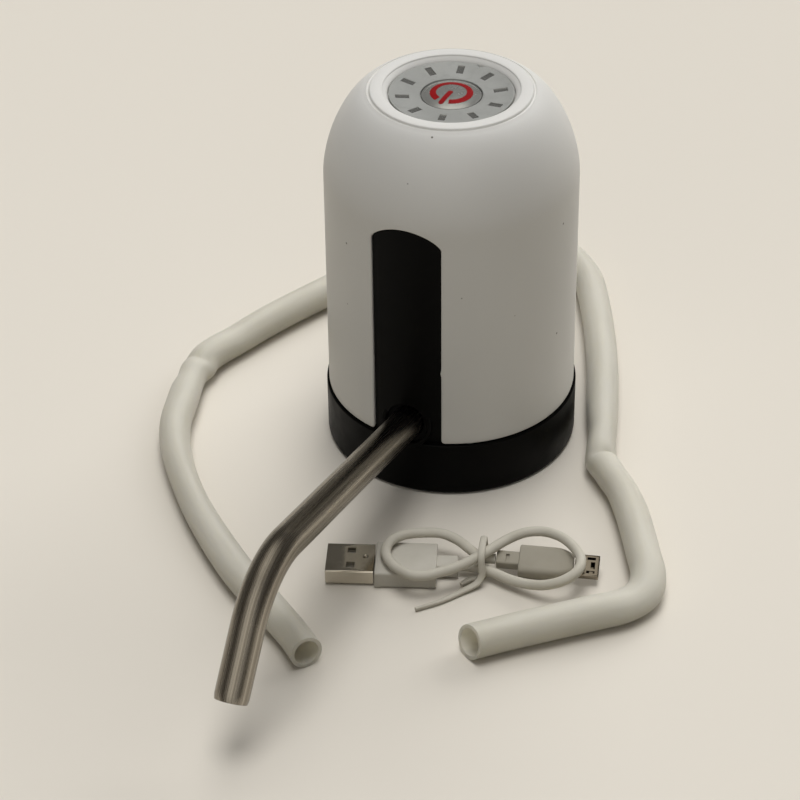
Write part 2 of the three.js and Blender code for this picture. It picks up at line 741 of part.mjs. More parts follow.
// Suction nipple: barbs below the deck, a flange under it and a stub above
function suctionNipple() {
  const flangeTop = deckUnderside - clearance;
  const barbs = Array.from({ length: nippleBarbCount }, (_, i) => nippleFootHeight + i * nippleBarbPitch);
  return turned([
    [nippleBoreRadius, nippleFootHeight],
    ...barbs.flatMap((level) => [
      [nippleStemRadius - clearance, level],
      [nippleBarbRadius, level + nippleBarbPitch * barbShare],
      [nippleStemRadius, level + nippleBarbPitch * barbShare],
    ]),
    [nippleStemRadius, flangeTop - nippleFlangeThickness],
    [nippleFlangeRadius, flangeTop - nippleFlangeThickness],
    [nippleFlangeRadius, flangeTop], [nippleStemRadius + clearance, flangeTop],
    [nippleStemRadius + clearance, deckTop], [pumpBarbRadius, deckTop],
    [pumpBarbRadius, nippleTop - nippleFootHeight], [pumpBarbRadius - clearance, nippleTop],
    [nippleBoreRadius, nippleTop],
  ], nippleSides);
}

add('suction_nipple', suctionNipple(), blackPlastic);

// Spout: a straight rise, a bend and a short tip, its steps shared out over the three stretches
class SpoutPath extends THREE.Curve {
  getPoint(t, target = new THREE.Vector3()) {
    const stretches = spoutBendSteps + 2;
    const step = t * stretches;
    const run = spoutInsert + spoutStraight;
    let [out, up] = [0, 0];
    const straight = Math.min(step, 1) * run - spoutInsert;
    out += straight * Math.cos(spoutRise);
    up += straight * Math.sin(spoutRise);
    const turn = (Math.min(Math.max(step - 1, 0), spoutBendSteps) / spoutBendSteps) * spoutBendTurn;
    out += spoutBendRadius * (Math.sin(turn - spoutRise) + Math.sin(spoutRise));
    up += spoutBendRadius * (Math.cos(turn - spoutRise) - Math.cos(spoutRise));
    const last = Math.max(step - 1 - spoutBendSteps, 0) * spoutTip;
    out += last * Math.cos(spoutBendTurn - spoutRise);
    up -= last * Math.sin(spoutBendTurn - spoutRise);
    return target.set(0, -stripRadius - out, spoutRootHeight + up);
  }

  getPointAt(u, target) {
    return this.getPoint(u, target);
  }

  getTangentAt(u, target) {
    return this.getTangent(u, target);
  }

  getTangent(t, target = new THREE.Vector3()) {
    const step = t * (spoutBendSteps + 2);
    const turn = (Math.min(Math.max(step - 1, 0), spoutBendSteps) / spoutBendSteps) * spoutBendTurn;
    return target.set(0, -Math.cos(turn - spoutRise), -Math.sin(turn - spoutRise));
  }
}

add('spout_tube', alongCurve(
  new SpoutPath(), spoutRadius, spoutSides, spoutBendSteps + 2, spoutRadius - spoutWall,
), stainless);

// Socket behind the strip: the tube turns in it, sealed by the ring, and the outlet hose leaves its back
const socketMouth = -stripThickness - clearance * 2;
const socketFloor = -spoutInsert - clearance;
const socketEnd = socketFloor - socketBack;
const oRingLevel = socketMouth - oRingSetback;
const oRingCircle = spoutRadius + clearance + oRingSection;

function spoutSocket() {
  const grooveHalf = oRingSection + clearance / 2;
  const grooveRadius = oRingCircle + oRingSection + clearance;
  const wallRadius = spoutRadius + clearance;
  return alongRoot(turned([
    [socketBoreRadius, socketEnd - socketBarbLength],
    [pumpBarbRadius - clearance, socketEnd - socketBarbLength],
    [pumpBarbRadius, socketEnd - socketBarbLength / 2], [pumpBarbRadius, socketEnd],
    [socketRadius, socketEnd], [socketRadius, socketMouth], [wallRadius, socketMouth],
    [wallRadius, oRingLevel + grooveHalf], [grooveRadius, oRingLevel + grooveHalf],
    [grooveRadius, oRingLevel - grooveHalf], [wallRadius, oRingLevel - grooveHalf],
    [wallRadius, socketFloor], [socketBoreRadius, socketFloor],
  ], spoutSides));
}

add('spout_socket', spoutSocket(), blackPlastic);
add('spout_o_ring', alongRoot(new THREE.TorusGeometry(oRingCircle, oRingSection, leadSides, spoutSides)
  .translate(0, 0, oRingLevel)), greyRubber);

// Bezel with its sunk ticks
const ticks = around(tickCount, (tickInnerRadius + tickOuterRadius) / 2, -Math.PI / 2 + tickTurn, () => (
  block(tickOuterRadius - tickInnerRadius, tickWidth, bezelTop - tickDepth, bezelTop + overrun)));
add('button_bezel', carve([turned([
  [buttonRadius + clearance, bezelTop - bezelThickness], [bezelRadius, bezelTop - bezelThickness],
  [bezelRadius, bezelTop - bezelEdgeRound], [bezelRadius - bezelEdgeRound, bezelTop],
  [buttonRadius + clearance, bezelTop],
], shellSides)], ticks), silverPlate);

// Button: domed cap, flange that keeps it under the bezel, stem over the switch
const flangeTop = bezelTop - bezelThickness - clearance;
const buttonCrownOutline = Array.from({ length: buttonCrownSteps + 1 }, (_, i) => {
  const turn = (1 - i / buttonCrownSteps) * (Math.PI / 2);
  return [buttonRadius * Math.sin(turn), bezelTop - buttonEdgeDrop + buttonCrown * (1 - Math.sin(turn) ** 2)];
});
add('button_cap', turned([
  [0, plungerTop + clearance], [buttonStemRadius, plungerTop + clearance],
  [buttonStemRadius, flangeTop - buttonFlangeThickness],
  [buttonRadius + buttonFlangeWidth, flangeTop - buttonFlangeThickness],
  [buttonRadius + buttonFlangeWidth, flangeTop],
  [buttonRadius, flangeTop], ...buttonCrownOutline,
]), silverButton);

add('switch_plunger', rod(plungerRadius, switchTop - plungerDepth, plungerTop), blackPlastic);
add('switch_body', carve(
  [block(switchSide, switchSide, boardTop + clearance, switchTop)],
  [rod(plungerRadius + clearance, switchTop - plungerDepth - plungerProud, switchTop + overrun)],
), darkSteel);
add('button_board', carve([rod(boardRadius, boardUnderside, boardTop, bodySides)],
  [-boardPostCircle, boardPostCircle].map((x) => (
    at(rod(shankRadius + clearance, boardUnderside - overrun, boardTop + overrun), x, 0)))), circuitBoard);
add('power_led', at(
  block(ledSide, ledSide, boardTop + clearance, boardTop + clearance + ledHeight), 0, -ledOffset),
  naturalNylon);
[-boardPostCircle, boardPostCircle].forEach((x, i) => {
  add(`board_screw_${i + 1}`, at(screw(boardUnderside - clearance, boardScrewLength), x, 0), steel);
});

// Cell, its tabs, and the chassis plate that steadies it and carries the pump
add('battery_cell', at(turned([
  [0, cellBottom], [cellRadius - cellEdgeRound, cellBottom], [cellRadius, cellBottom + cellEdgeRound],
  [cellRadius, cellTop - cellEdgeRound], [cellRadius - cellEdgeRound, cellTop], [0, cellTop],
]), cellX, cellY), cellWrap);
add('battery_tab_bottom', at(
  block(tabWidth, tabReach + tabLap * 2, deckTop + clearance, deckTop + clearance + tabThickness),
  cellX, cellY + tabReach / 2 - tabLap + clearance), nickel);
add('battery_tab_top', at(
  block(cellRadius, tabWidth, cellTop + clearance, cellTop + clearance + tabThickness),
  cellX - tabLap, cellY), nickel);

function chassis() {
  const legs = legTurns.map((turn) => (
    at(rod(legRadius, deckTop + clearance, chassisBottom + bite), ...onCircle(legCircle, turn))));
  const mountSpots = [0, Math.PI].map((turn) => onCircle(earCircle, earTurn + turn));
  return carve([rod(chassisRadius, chassisBottom, chassisTop, bodySides), ...legs], [
    at(rod(motorRadius + clearance, 0, motorTop, bodySides), pumpX, pumpY),
    at(rod(cellRadius + clearance, 0, motorTop, bodySides), cellX, cellY),
    ...mountSpots.map(([x, y]) => (
      at(rod(shankRadius + clearance, 0, motorTop, tinySides), pumpX + x, pumpY + y))),
    ...legTurns.map((turn) => (
      at(rod(longShankRadius + clearance, 0, deckTop + chassisScrewLength), ...onCircle(legCircle, turn)))),
    at(block(wireNotchWidth, chassisRadius, 0, motorTop), 0, wireNotchReach + chassisRadius / 2),
  ]);
}

add('chassis', chassis(), naturalNylon);
legTurns.forEach((turn, i) => {
  const piece = screw(deckUnderside - clearance, chassisScrewLength, longShankRadius, longHeadRadius);
  add(`chassis_screw_${i + 1}`, at(piece, ...onCircle(legCircle, turn)), steel);
});
[0, Math.PI].forEach((turn, i) => {
  const [x, y] = onCircle(earCircle, earTurn + turn);
  const piece = screw(0, mountScrewLength).rotateX(Math.PI).translate(0, 0, chassisTop + clearance);
  add(`mount_screw_${i + 1}`, at(piece, pumpX + x, pumpY + y), steel);
});

// Charging board with its socket, behind the port at the back
const chargeBoardY = chargeBoardOuterY - chargeBoardDepth / 2;
add('charge_board', carve(
  [at(block(chargeBoardWidth, chargeBoardDepth, chargeBoardHeight, chargeBoardTop), 0, chargeBoardY)],
  [-chargePostSpacing / 2, chargePostSpacing / 2].map((x) => (
    at(rod(chargePinRadius + clearance, 0, motorTop, tinySides), x, chargeBoardY))),
), circuitBoard);
const portBottom = portLevel - portHeight / 2;
const portTop = portLevel + portHeight / 2;
add('usb_socket', carve(
  [at(block(portWidth, portDepth, portBottom, portTop), 0, portFaceY - portDepth / 2)],
  [at(block(portWidth - portWall * 2, portDepth, portBottom + portWall, portTop - portWall),
    0, portFaceY - portDepth / 2 + portWall)],
), nickel);

// Pump: head with its barbs, valve plate, diaphragm, crankcase, yoke and crank
const stack = new THREE.Group();
stack.position.set(pumpX, pumpY, 0);
pump.add(stack);
const pumpScrewTurns = Array.from({ length: cupCount }, (_, i) => (
  pumpScrewTurn + (i * 2 * Math.PI) / cupCount));
const cupTurns = pumpScrewTurns.map((turn) => turn + Math.PI / cupCount);

function pumpScrewHoles() {
  const top = crankcaseBottom + pumpScrewBite + clearance;
  return pumpScrewTurns.map((turn) => (
    at(rod(shankRadius + clearance, 0, top, tinySides), ...onCircle(pumpScrewCircle, turn))));
}

function pumpHead() {
  const barb = () => rod(pumpBarbRadius, pumpBarbFoot, headBottom + bite);
  const headTop = headBottom + headThickness;
  const bore = () => rod(pumpBoreRadius, pumpBarbFoot - overrun, headTop + overrun, tinySides);
  const chamber = rod(chamberRadius, headTop - chamberDepth, headTop + overrun, bodySides);
  const wall = block(chamberRib, chamberRadius * 2, headBottom, headTop + overrun)
    .rotateZ(Math.atan2(pumpY, pumpX));
  const chambers = toGeometry(toSolid(chamber).subtract(toSolid(wall)));
  return carve(
    [rod(pumpRadius, headBottom, headTop, bodySides),
      at(barb(), -pumpX, -pumpY), at(barb(), pumpX, pumpY)],
    [chambers, at(bore(), -pumpX, -pumpY), at(bore(), pumpX, pumpY), ...pumpScrewHoles()],
  );
}

add('pump_head', pumpHead(), blackPlastic, stack);
add('valve_plate', carve([rod(pumpRadius, valvePlateBottom, valvePlateBottom + plateThickness, bodySides)], [
  ...pumpScrewHoles(),
  ...cupTurns.flatMap((turn) => [-1, 1].map((side) => (
    at(rod(portRadius, 0, motorTop, tinySides), ...onCircle(cupCircle + side * portRadius * 2, turn))))),
]), naturalNylon, stack);

function diaphragm() {
  const sheetTop = diaphragmBottom + diaphragmThickness;
  const cups = cupTurns.flatMap((turn) => [
    at(rod(cupRadius, sheetTop - bite, sheetTop + cupHeight), ...onCircle(cupCircle, turn)),
    at(rod(cupStemRadius, sheetTop + cupHeight - bite, sheetTop + cupHeight + cupStemLength, tinySides),
      ...onCircle(cupCircle, turn)),
  ]);
  return carve([rod(pumpRadius - clearance, diaphragmBottom, sheetTop, bodySides), ...cups], [
    ...pumpScrewHoles(),
    ...cupTurns.map((turn) => (
      at(rod(cupRadius - cupWall, diaphragmBottom - overrun, sheetTop + cupHeight - cupWall),
        ...onCircle(cupCircle, turn)))),
  ]);
}

add('diaphragm', diaphragm(), greyRubber, stack);

function crankcase() {
  const cup = turned([
    [motorNoseRadius + clearance, crankcaseTop - crankcaseRoof],
    [pumpRadius - crankcaseWall, crankcaseTop - crankcaseRoof], [pumpRadius - crankcaseWall, crankcaseBottom],
    [pumpRadius, crankcaseBottom], [pumpRadius, crankcaseTop],
    [motorNoseRadius + clearance, crankcaseTop],
  ]);
  const ears = [0, Math.PI].map((turn) => (
    at(block(earReach - pumpRadius + crankcaseWall, earWidth, crankcaseTop - crankcaseRoof, crankcaseTop),
      (earReach + pumpRadius - crankcaseWall) / 2, 0).rotateZ(earTurn + turn)));
  const bosses = pumpScrewTurns.map((turn) => (
    at(rod(shankRadius + clearance + pumpScrewBossWall,
      crankcaseBottom, crankcaseBottom + pumpScrewBite + crankcaseWall),
      ...onCircle(pumpScrewCircle, turn))));
  return carve([cup, ...ears, common(carve(bosses), rod(pumpRadius - bite, 0, motorTop, bodySides))], [
    ...pumpScrewHoles(),
    ...[0, Math.PI].map((turn) => (
      at(rod(shankRadius + clearance, 0, motorTop, tinySides), ...onCircle(earCircle, earTurn + turn)))),
  ]);
}

add('crankcase', crankcase(), blackPlastic, stack);
pumpScrewTurns.forEach((turn, i) => {
  const length = crankcaseBottom + pumpScrewBite - headBottom;
  const place = onCircle(pumpScrewCircle, turn);
  add(`pump_screw_${i + 1}`, at(screw(headBottom - clearance, length), ...place), steel, stack);
});

// Yoke: three arms over the cups and a tapered pocket that the crank's pin stirs
function wobbleYoke() {
  const arms = cupTurns.flatMap((turn) => [
    at(block(cupCircle, yokeArmWidth, yokeBottom, yokeBottom + yokeThickness), cupCircle / 2, 0).rotateZ(turn),
    at(rod(yokeArmWidth / 2, yokeBottom, yokeBottom + yokeThickness), ...onCircle(cupCircle, turn)),
  ]);
  const pocketFoot = yokeBottom + pinFootLift - clearance;
  const footRadius = pinFootOffset + pinRadius + clearance * 2;
  const pocket = turned([
    [0, pocketFoot], [footRadius, pocketFoot],
    [footRadius + (yokeTop + overrun - pocketFoot) * Math.tan(pinTilt), yokeTop + overrun],
    [0, yokeTop + overrun],
  ], spoutSides);
  return carve([rod(yokeHubRadius, yokeBottom, yokeTop, spoutSides), ...arms], [
    pocket,
    ...cupTurns.map((turn) => (
      at(rod(cupStemRadius + clearance, 0, motorTop, tinySides), ...onCircle(cupCircle, turn)))),
  ]);
}

add('wobble_yoke', wobbleYoke(), naturalNylon, stack);

function tiltedPin(radius, start, length) {
  return rod(radius, start, length, tinySides).rotateY(pinTilt)
    .translate(pinFootOffset, 0, yokeBottom + pinFootLift);
}

add('drive_pin', tiltedPin(pinRadius, 0, pinLength), steel, stack);
add('crank_hub', carve([rod(crankRadius, crankBottom, crankTop, spoutSides)], [
  tiltedPin(pinRadius + clearance, -clearance, pinLength + clearance),
  rod(shaftRadius + clearance, crankTop - shaftGrip, crankTop + overrun, tinySides),
]), brass, stack);

// Motor
const canBore = motorRadius - motorWall;
add('motor_can', turned([
  [shaftRadius + clearance, motorBottom - motorNoseHeight], [motorNoseRadius, motorBottom - motorNoseHeight],
  [motorNoseRadius, motorBottom], [motorRadius, motorBottom], [motorRadius, motorTop], [canBore, motorTop],
  [canBore, motorBottom + motorFloor], [shaftRadius + clearance, motorBottom + motorFloor],
]), steel, stack);

const endCapTop = motorTop - clearance;
add('motor_end_cap', carve([
  rod(canBore - clearance, endCapTop - endCapThickness, endCapTop, bodySides),
  rod(endCapHubRadius, endCapTop - bite, endCapTop + endCapHubHeight),
  ...[-1, 1].map((side) => at(
    block(terminalThickness, terminalWidth, endCapTop - bite, endCapTop + terminalHeight),
    side * terminalCircle, 0)),
], [rod(shaftRadius + clearance, 0, endCapTop + endCapHubHeight / 2, tinySides)]), blackPlastic, stack);

function magnet() {
  const [inner, outer] = [canBore - clearance - magnetThickness, canBore - clearance];
  const shape = new THREE.Shape();
  shape.absarc(0, 0, outer, -magnetSpan / 2, magnetSpan / 2, false);
  shape.absarc(0, 0, inner, magnetSpan / 2, -magnetSpan / 2, true);
  return new THREE.ExtrudeGeometry(shape, { depth: magnetHeight, bevelEnabled: false, curveSegments: 6 })
    .translate(0, 0, armatureBottom);
}

add('magnet_right', magnet(), ferrite, stack);
add('magnet_left', magnet().rotateZ(Math.PI), ferrite, stack);

function motorRotor() {
  const armatureTop = armatureBottom + magnetHeight;
  const commutatorTop = armatureTop + commutatorHeight;
  const spindle = turned([
    [0, crankTop - shaftGrip + clearance], [shaftRadius, crankTop - shaftGrip + clearance],
    [shaftRadius, armatureBottom], [armatureRadius, armatureBottom],
    [armatureRadius, armatureTop], [commutatorRadius, armatureTop],
    [commutatorRadius, commutatorTop], [shaftRadius, commutatorTop],
    [shaftRadius, endCapTop + endCapHubHeight / 2 - clearance],
    [0, endCapTop + endCapHubHeight / 2 - clearance],
  ]);
  const slots = around(poleCount, poleSlotFloor + armatureRadius / 2, Math.PI / 2, () => (
    block(armatureRadius, poleSlotWidth, armatureBottom - overrun, armatureTop + overrun)));
  return carve([spindle], slots);
}

add('motor_rotor', motorRotor(), copper, stack);

// Soft tubes inside: nipple to pump, pump to spout socket
const sleeveRadius = pumpBarbRadius + clearance;
add('inlet_sleeve', pipe(
  sleeveRadius, sleeveRadius + hoseWall, deckTop + clearance, headBottom - clearance, sleeveSides,
), siliconeRubber);

// A point on the spout's root axis, at a distance from the strip's face
function onRoot(distance) {
  return [0, -stripRadius - distance * Math.cos(spoutRise), spoutRootHeight + distance * Math.sin(spoutRise)];
}

function outletHose() {
  const [x, y] = [pumpX * 2, pumpY * 2];
  const barbStart = socketEnd - socketBarbLength;
  const ends = [barbStart - hoseWall * 2, barbStart, socketEnd - clearance];
  return alongCurve(route([
    [x, y, headBottom - clearance], [x, y, pumpBarbFoot], ...outletHoseRoute, ...ends.map(onRoot),
  ]), sleeveRadius + hoseWall, sleeveSides, outletHoseSteps, sleeveRadius);
}

add('outlet_hose', outletHose(), siliconeRubber);

function lead(points) {
  return alongCurve(route(points), leadRadius, leadSides, leadSteps);
}

add('switch_cable', lead(switchCableRoute), blackInsulation);
const terminalTop = endCapTop + terminalHeight + clearance;
const redStart = [pumpX + terminalCircle, pumpY, terminalTop];
const blackStart = [pumpX - terminalCircle, pumpY, terminalTop];
add('motor_lead_red', lead([redStart, ...motorLeadRoutes.red]), redInsulation);
add('motor_lead_black', lead([blackStart, ...motorLeadRoutes.black]), blackInsulation);
add('battery_lead_red', lead(cellLeadRoutes.red), redInsulation);
add('battery_lead_black', lead(cellLeadRoutes.black), blackInsulation);

// Suction hose, loose on the floor
add('suction_hose', alongCurve(
  route(suctionHoseRoute.map(([x, y]) => [x, y, suctionHoseRadius])), suctionHoseRadius, suctionHoseSides,
  suctionHoseSteps, suctionHoseRadius - suctionHoseWall,
), siliconeRubber);

// Plugs of the charging lead, each built along +X from the tip of its metal shell
function bar(width, height, round, start, end, level = 0) {
  const shape = roundedRectangle(width, height, round);
  return new THREE.ExtrudeGeometry(shape, { depth: end - start, bevelEnabled: false, curveSegments: 1 })
    .rotateX(Math.PI / 2).rotateZ(Math.PI / 2).translate(start, 0, level);
}

function stubAlongX(radius, start, end) {
  return rod(radius, start, end).rotateY(Math.PI / 2);
}

function plugGroup([x, y], turn, level, roll = 0) {
  const group = new THREE.Group();
  group.position.set(x, y, level);
  group.rotation.set(roll, 0, turn, 'ZYX');
  pump.add(group);
  return group;
}

const usbLevel = usbMouldHeight / 2;
const usbPlug = plugGroup(usbPlugPlace, usbPlugTurn, usbLevel);
const usbMouldStart = usbShellLength + clearance;
const usbMouldEnd = usbMouldStart + usbMouldLength;
add('usb_a_overmould', carve([
  bar(usbMouldWidth, usbMouldHeight, usbMouldRound, usbMouldStart, usbMouldEnd),
  stubAlongX(usbReliefRadius, usbMouldEnd - bite, usbMouldEnd + usbReliefLength),
]), leadPlastic, usbPlug);
const usbTongueLevel = -usbShellHeight / 2 + usbShellWall + clearance + usbTongueHeight / 2;
add('usb_a_shell', carve(
  [bar(usbShellWidth, usbShellHeight, usbShellWall, 0, usbShellLength)],
  [bar(usbShellWidth - usbShellWall * 2, usbShellHeight - usbShellWall * 2, usbShellWall / 2,
    -overrun, usbShellLength - usbShellWall)],
), nickel, usbPlug);
const usbTongueEnd = usbShellLength - usbShellWall - clearance;
add('usb_a_insert', bar(usbShellWidth - usbShellWall * 2 - clearance * 2, usbTongueHeight, clearance,
  usbTongueEnd - usbTongueLength, usbTongueEnd, usbTongueLevel), ferrite, usbPlug);

const microLevel = (
  microMouldWidth * Math.sin(Math.abs(microPlugRoll)) + microMouldHeight * Math.cos(microPlugRoll)) / 2;
const microPlug = plugGroup(microPlugPlace, microPlugTurn, microLevel, microPlugRoll);
const microMouldStart = microShellLength + clearance;
const microMouldEnd = microMouldStart + microMouldLength;
add('micro_overmould', carve([
  bar(microMouldWidth, microMouldHeight, microMouldRound, microMouldStart, microMouldEnd),
  stubAlongX(microReliefRadius, microMouldEnd - bite, microMouldEnd + microReliefLength),
]), leadPlastic, microPlug);
add('micro_shell', carve(
  [bar(microShellWidth, microShellHeight, usbShellWall, 0, microShellLength)],
  [bar(microShellWidth - usbShellWall * 2, microShellHeight - usbShellWall * 2, usbShellWall / 2,
    -overrun, microShellLength - usbShellWall)],
), nickel, microPlug);

// The lead in its figure of eight; its ends run straight into the strain reliefs
function plugPoint([x, y], turn, distance, level) {
  return [x + distance * Math.cos(turn), y + distance * Math.sin(turn), level];
}

const usbReliefEnd = usbMouldEnd + usbReliefLength + clearance;
const microReliefEnd = microMouldEnd + microReliefLength + clearance;
const usbCablePath = route([
  plugPoint(usbPlugPlace, usbPlugTurn, usbReliefEnd, usbLevel),
  plugPoint(usbPlugPlace, usbPlugTurn, usbReliefEnd + leadOuterRadius * 2, usbLevel),
  ...usbCableRoute,
  plugPoint(microPlugPlace, microPlugTurn, microReliefEnd + leadOuterRadius * 2, microLevel),
  plugPoint(microPlugPlace, microPlugTurn, microReliefEnd, microLevel),
]);
add('usb_cable', alongCurve(usbCablePath, leadOuterRadius, usbCableSides, usbCableSteps), leadPlastic);

// Least gap between stretches of the lead that are further apart along it than the window
function leastGap(path, radius, samples, window) {
  const points = path.getSpacedPoints(samples);
  const spacing = path.getLength() / samples;
  let least = Infinity;
  points.forEach((p, i) => points.slice(i + Math.ceil(window / spacing)).forEach((q) => {
    least = Math.min(least, p.distanceTo(q));
  }));
  return least - radius * 2;
}

console.log(`usb_cable length ${usbCablePath.getLength().toFixed(1)} mm, least gap to itself `
  + `${leastGap(usbCablePath, leadOuterRadius, usbCableSteps * 4, leadOuterRadius * 6).toFixed(2)} mm`);

// Tie: a flat band round the crossing, with a tail on the floor
function ribbon(points, width, thickness) {
  const line = route(points.map(([x, y]) => [x, y, 0]));
  const steps = points.length * 2;
  const edge = (side) => line.getSpacedPoints(steps).map((p, i) => {
    const along = line.getTangentAt(i / steps);
    return new THREE.Vector2(p.x - side * along.y * (width / 2), p.y + side * along.x * (width / 2));
  });
  const shape = new THREE.Shape([...edge(-1), ...edge(1).reverse()]);
  return new THREE.ExtrudeGeometry(shape, { depth: thickness, bevelEnabled: false });
}

function cableTie() {
  const outline = roundedRectangle(tieSpan, tieHeight, tieRound);
  const inside = [tieSpan - tieThickness * 2, tieHeight - tieThickness * 2];
  outline.holes.push(roundedRectangle(...inside, tieRound - tieThickness));
  const band = new THREE.ExtrudeGeometry(outline, { depth: tieWidth, bevelEnabled: false, curveSegments: 2 })
    .rotateX(Math.PI / 2).rotateZ(Math.PI / 2).translate(-tieWidth / 2, 0, tieHeight / 2 + tieLift)
    .rotateZ(tieTurn).translate(...tiePlace, 0);
  return carve([band, ribbon(tieTailRoute, tieWidth, tieThickness).translate(0, 0, tieLift)]);
}

add('cable_tie', cableTie(), leadPlastic);

export default part;
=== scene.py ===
import json
import math

import bpy
import numpy as np
from mathutils import Matrix, Vector


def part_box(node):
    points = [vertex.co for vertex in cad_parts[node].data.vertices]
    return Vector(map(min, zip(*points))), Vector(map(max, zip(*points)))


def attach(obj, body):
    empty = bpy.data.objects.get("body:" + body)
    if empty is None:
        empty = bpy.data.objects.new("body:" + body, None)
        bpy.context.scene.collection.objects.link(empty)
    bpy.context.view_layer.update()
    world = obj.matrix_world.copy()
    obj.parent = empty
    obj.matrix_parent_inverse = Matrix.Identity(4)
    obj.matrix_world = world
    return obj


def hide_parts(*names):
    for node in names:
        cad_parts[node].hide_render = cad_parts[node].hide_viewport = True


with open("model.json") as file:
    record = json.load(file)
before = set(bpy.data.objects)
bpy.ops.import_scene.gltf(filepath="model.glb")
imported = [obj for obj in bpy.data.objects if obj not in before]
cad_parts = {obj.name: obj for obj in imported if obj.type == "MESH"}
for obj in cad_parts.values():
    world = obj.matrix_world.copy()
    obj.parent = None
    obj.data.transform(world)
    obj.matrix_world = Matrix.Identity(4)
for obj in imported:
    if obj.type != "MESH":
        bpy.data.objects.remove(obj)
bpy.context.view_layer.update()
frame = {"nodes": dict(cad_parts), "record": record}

# Camera: it stands to the right of the spout and looks down on the pump from about half a metre up.
# Its place is given from the pump's own axis, in the direction in which the photograph was taken.
MM = 0.001
bezel_low, bezel_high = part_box("button_bezel")
axis_y = (bezel_low.y + bezel_high.y) / 2
camera_distance = 594.9 * MM
camera_height = 440.4 * MM
camera_side_turn = math.radians(21.2)
camera_yaw = -0.0239
camera_pitch = 0.6288
camera_roll = -0.0135
frame_pixels = 800
focal_pixels = 2500
centre_pixels = (403, 398)
sensor_width = 36

camera_data = bpy.data.cameras.new("photo_camera")
camera_data.sensor_width = sensor_width
camera_data.lens = focal_pixels / frame_pixels * sensor_width
camera_data.shift_x = (frame_pixels / 2 - centre_pixels[0]) / frame_pixels
camera_data.shift_y = (centre_pixels[1] - frame_pixels / 2) / frame_pixels
camera = bpy.data.objects.new("photo_camera", camera_data)
bpy.context.scene.collection.objects.link(camera)
bpy.context.scene.camera = camera

side_turn = Matrix.Rotation(camera_side_turn, 3, "Z")
forward = Vector((math.sin(camera_yaw) * math.cos(camera_pitch),
                  math.cos(camera_yaw) * math.cos(camera_pitch), -math.sin(camera_pitch)))
right = forward.cross(Vector((0, 0, 1))).normalized()
up = right.cross(forward)
right_rolled = math.cos(camera_roll) * right + math.sin(camera_roll) * up
up_rolled = math.cos(camera_roll) * up - math.sin(camera_roll) * right
facing = Matrix((side_turn @ right_rolled, side_turn @ up_rolled, side_turn @ -forward)).transposed()
stand = side_turn @ Vector((0, -camera_distance, camera_height)) + Vector((0, axis_y, 0))
camera.matrix_world = Matrix.Translation(stand) @ facing.to_4x4()

# Floor and light: a plain pale floor under five soft lights, most of them above and behind the pump. The room
# that shiny pieces mirror is dim, with pale panels: each has its turn, its rise, how far round its middle it is
# pale, and where it ends. A lamp has its strength, spread, tilt and turn.
floor_half = 12
floor_drop = 0.1 * MM
floor_pale = (0.765, 0.715, 0.63, 1)
floor_bounce = (0.45, 0.42, 0.36, 1)
room_panels = ((-76, 30, 18, 34), (-80, 62, 14, 28), (110, 80, 12, 26), (108, 60, 6, 16))
panel_pale = (1, 0.96, 0.88, 1)
room_dim = (0.10, 0.094, 0.084, 1)
room_faint = (0.03, 0.029, 0.027, 1)
lamps = {"ceiling_light": (1.38, 32, 0, 0), "left_back_light": (0.56, 32, 30, 15),
         "right_back_light": (0.8, 32, 65, -25), "low_back_light": (0.9, 32, 60, 8),
         "front_light": (0.38, 60, 47, 190)}


def node(tree, kind, inputs, **settings):
    """A new shader node with its settings. Each input gets a value, or the socket that feeds it."""
    made = tree.nodes.new("ShaderNode" + kind)
    for name, value in settings.items():
        setattr(made, name, value)
    for place, value in inputs.items():
        if isinstance(value, bpy.types.NodeSocket):
            tree.links.new(value, made.inputs[place])
        else:
            made.inputs[place].default_value = value
    return made


def mixed(tree, share, first, second):
    """The first colour, turned towards the second by the share."""
    return node(tree, "Mix", {0: share, 6: first, 7: second}, data_type="RGBA").outputs[2]


def seen_directly(tree):
    """1 for what the camera sees, also in a reflection or through a clear piece, and 0 for scattered light."""
    paths = node(tree, "LightPath", {}).outputs
    share = paths["Is Camera Ray"]
    for kind in ("Is Glossy Ray", "Is Transmission Ray"):
        share = node(tree, "Math", {0: share, 1: paths[kind]}, operation="MAXIMUM").outputs[0]
    return share


def lay_floor():
    """A square plane a hair below the object, pale where it is seen and darker for the light it throws back."""
    mesh = bpy.data.meshes.new("floor")
    corners = [(x * floor_half, y * floor_half, -floor_drop) for x, y in ((-1, -1), (1, -1), (1, 1), (-1, 1))]
    mesh.from_pydata(corners, [], [(0, 1, 2, 3)])
    plane = bpy.data.objects.new("floor", mesh)
    bpy.context.scene.collection.objects.link(plane)
    material = bpy.data.materials.new("floor_card")
    material.use_nodes = True
    tree = material.node_tree
    tree.nodes.clear()
    bounce, pale = (node(tree, "BsdfDiffuse", {"Color": colour}).outputs[0]
                    for colour in (floor_bounce, floor_pale))
    mix = node(tree, "MixShader", {0: seen_directly(tree), 1: bounce, 2: pale})
    node(tree, "OutputMaterial", {"Surface": mix.outputs[0]})
    mesh.materials.append(material)


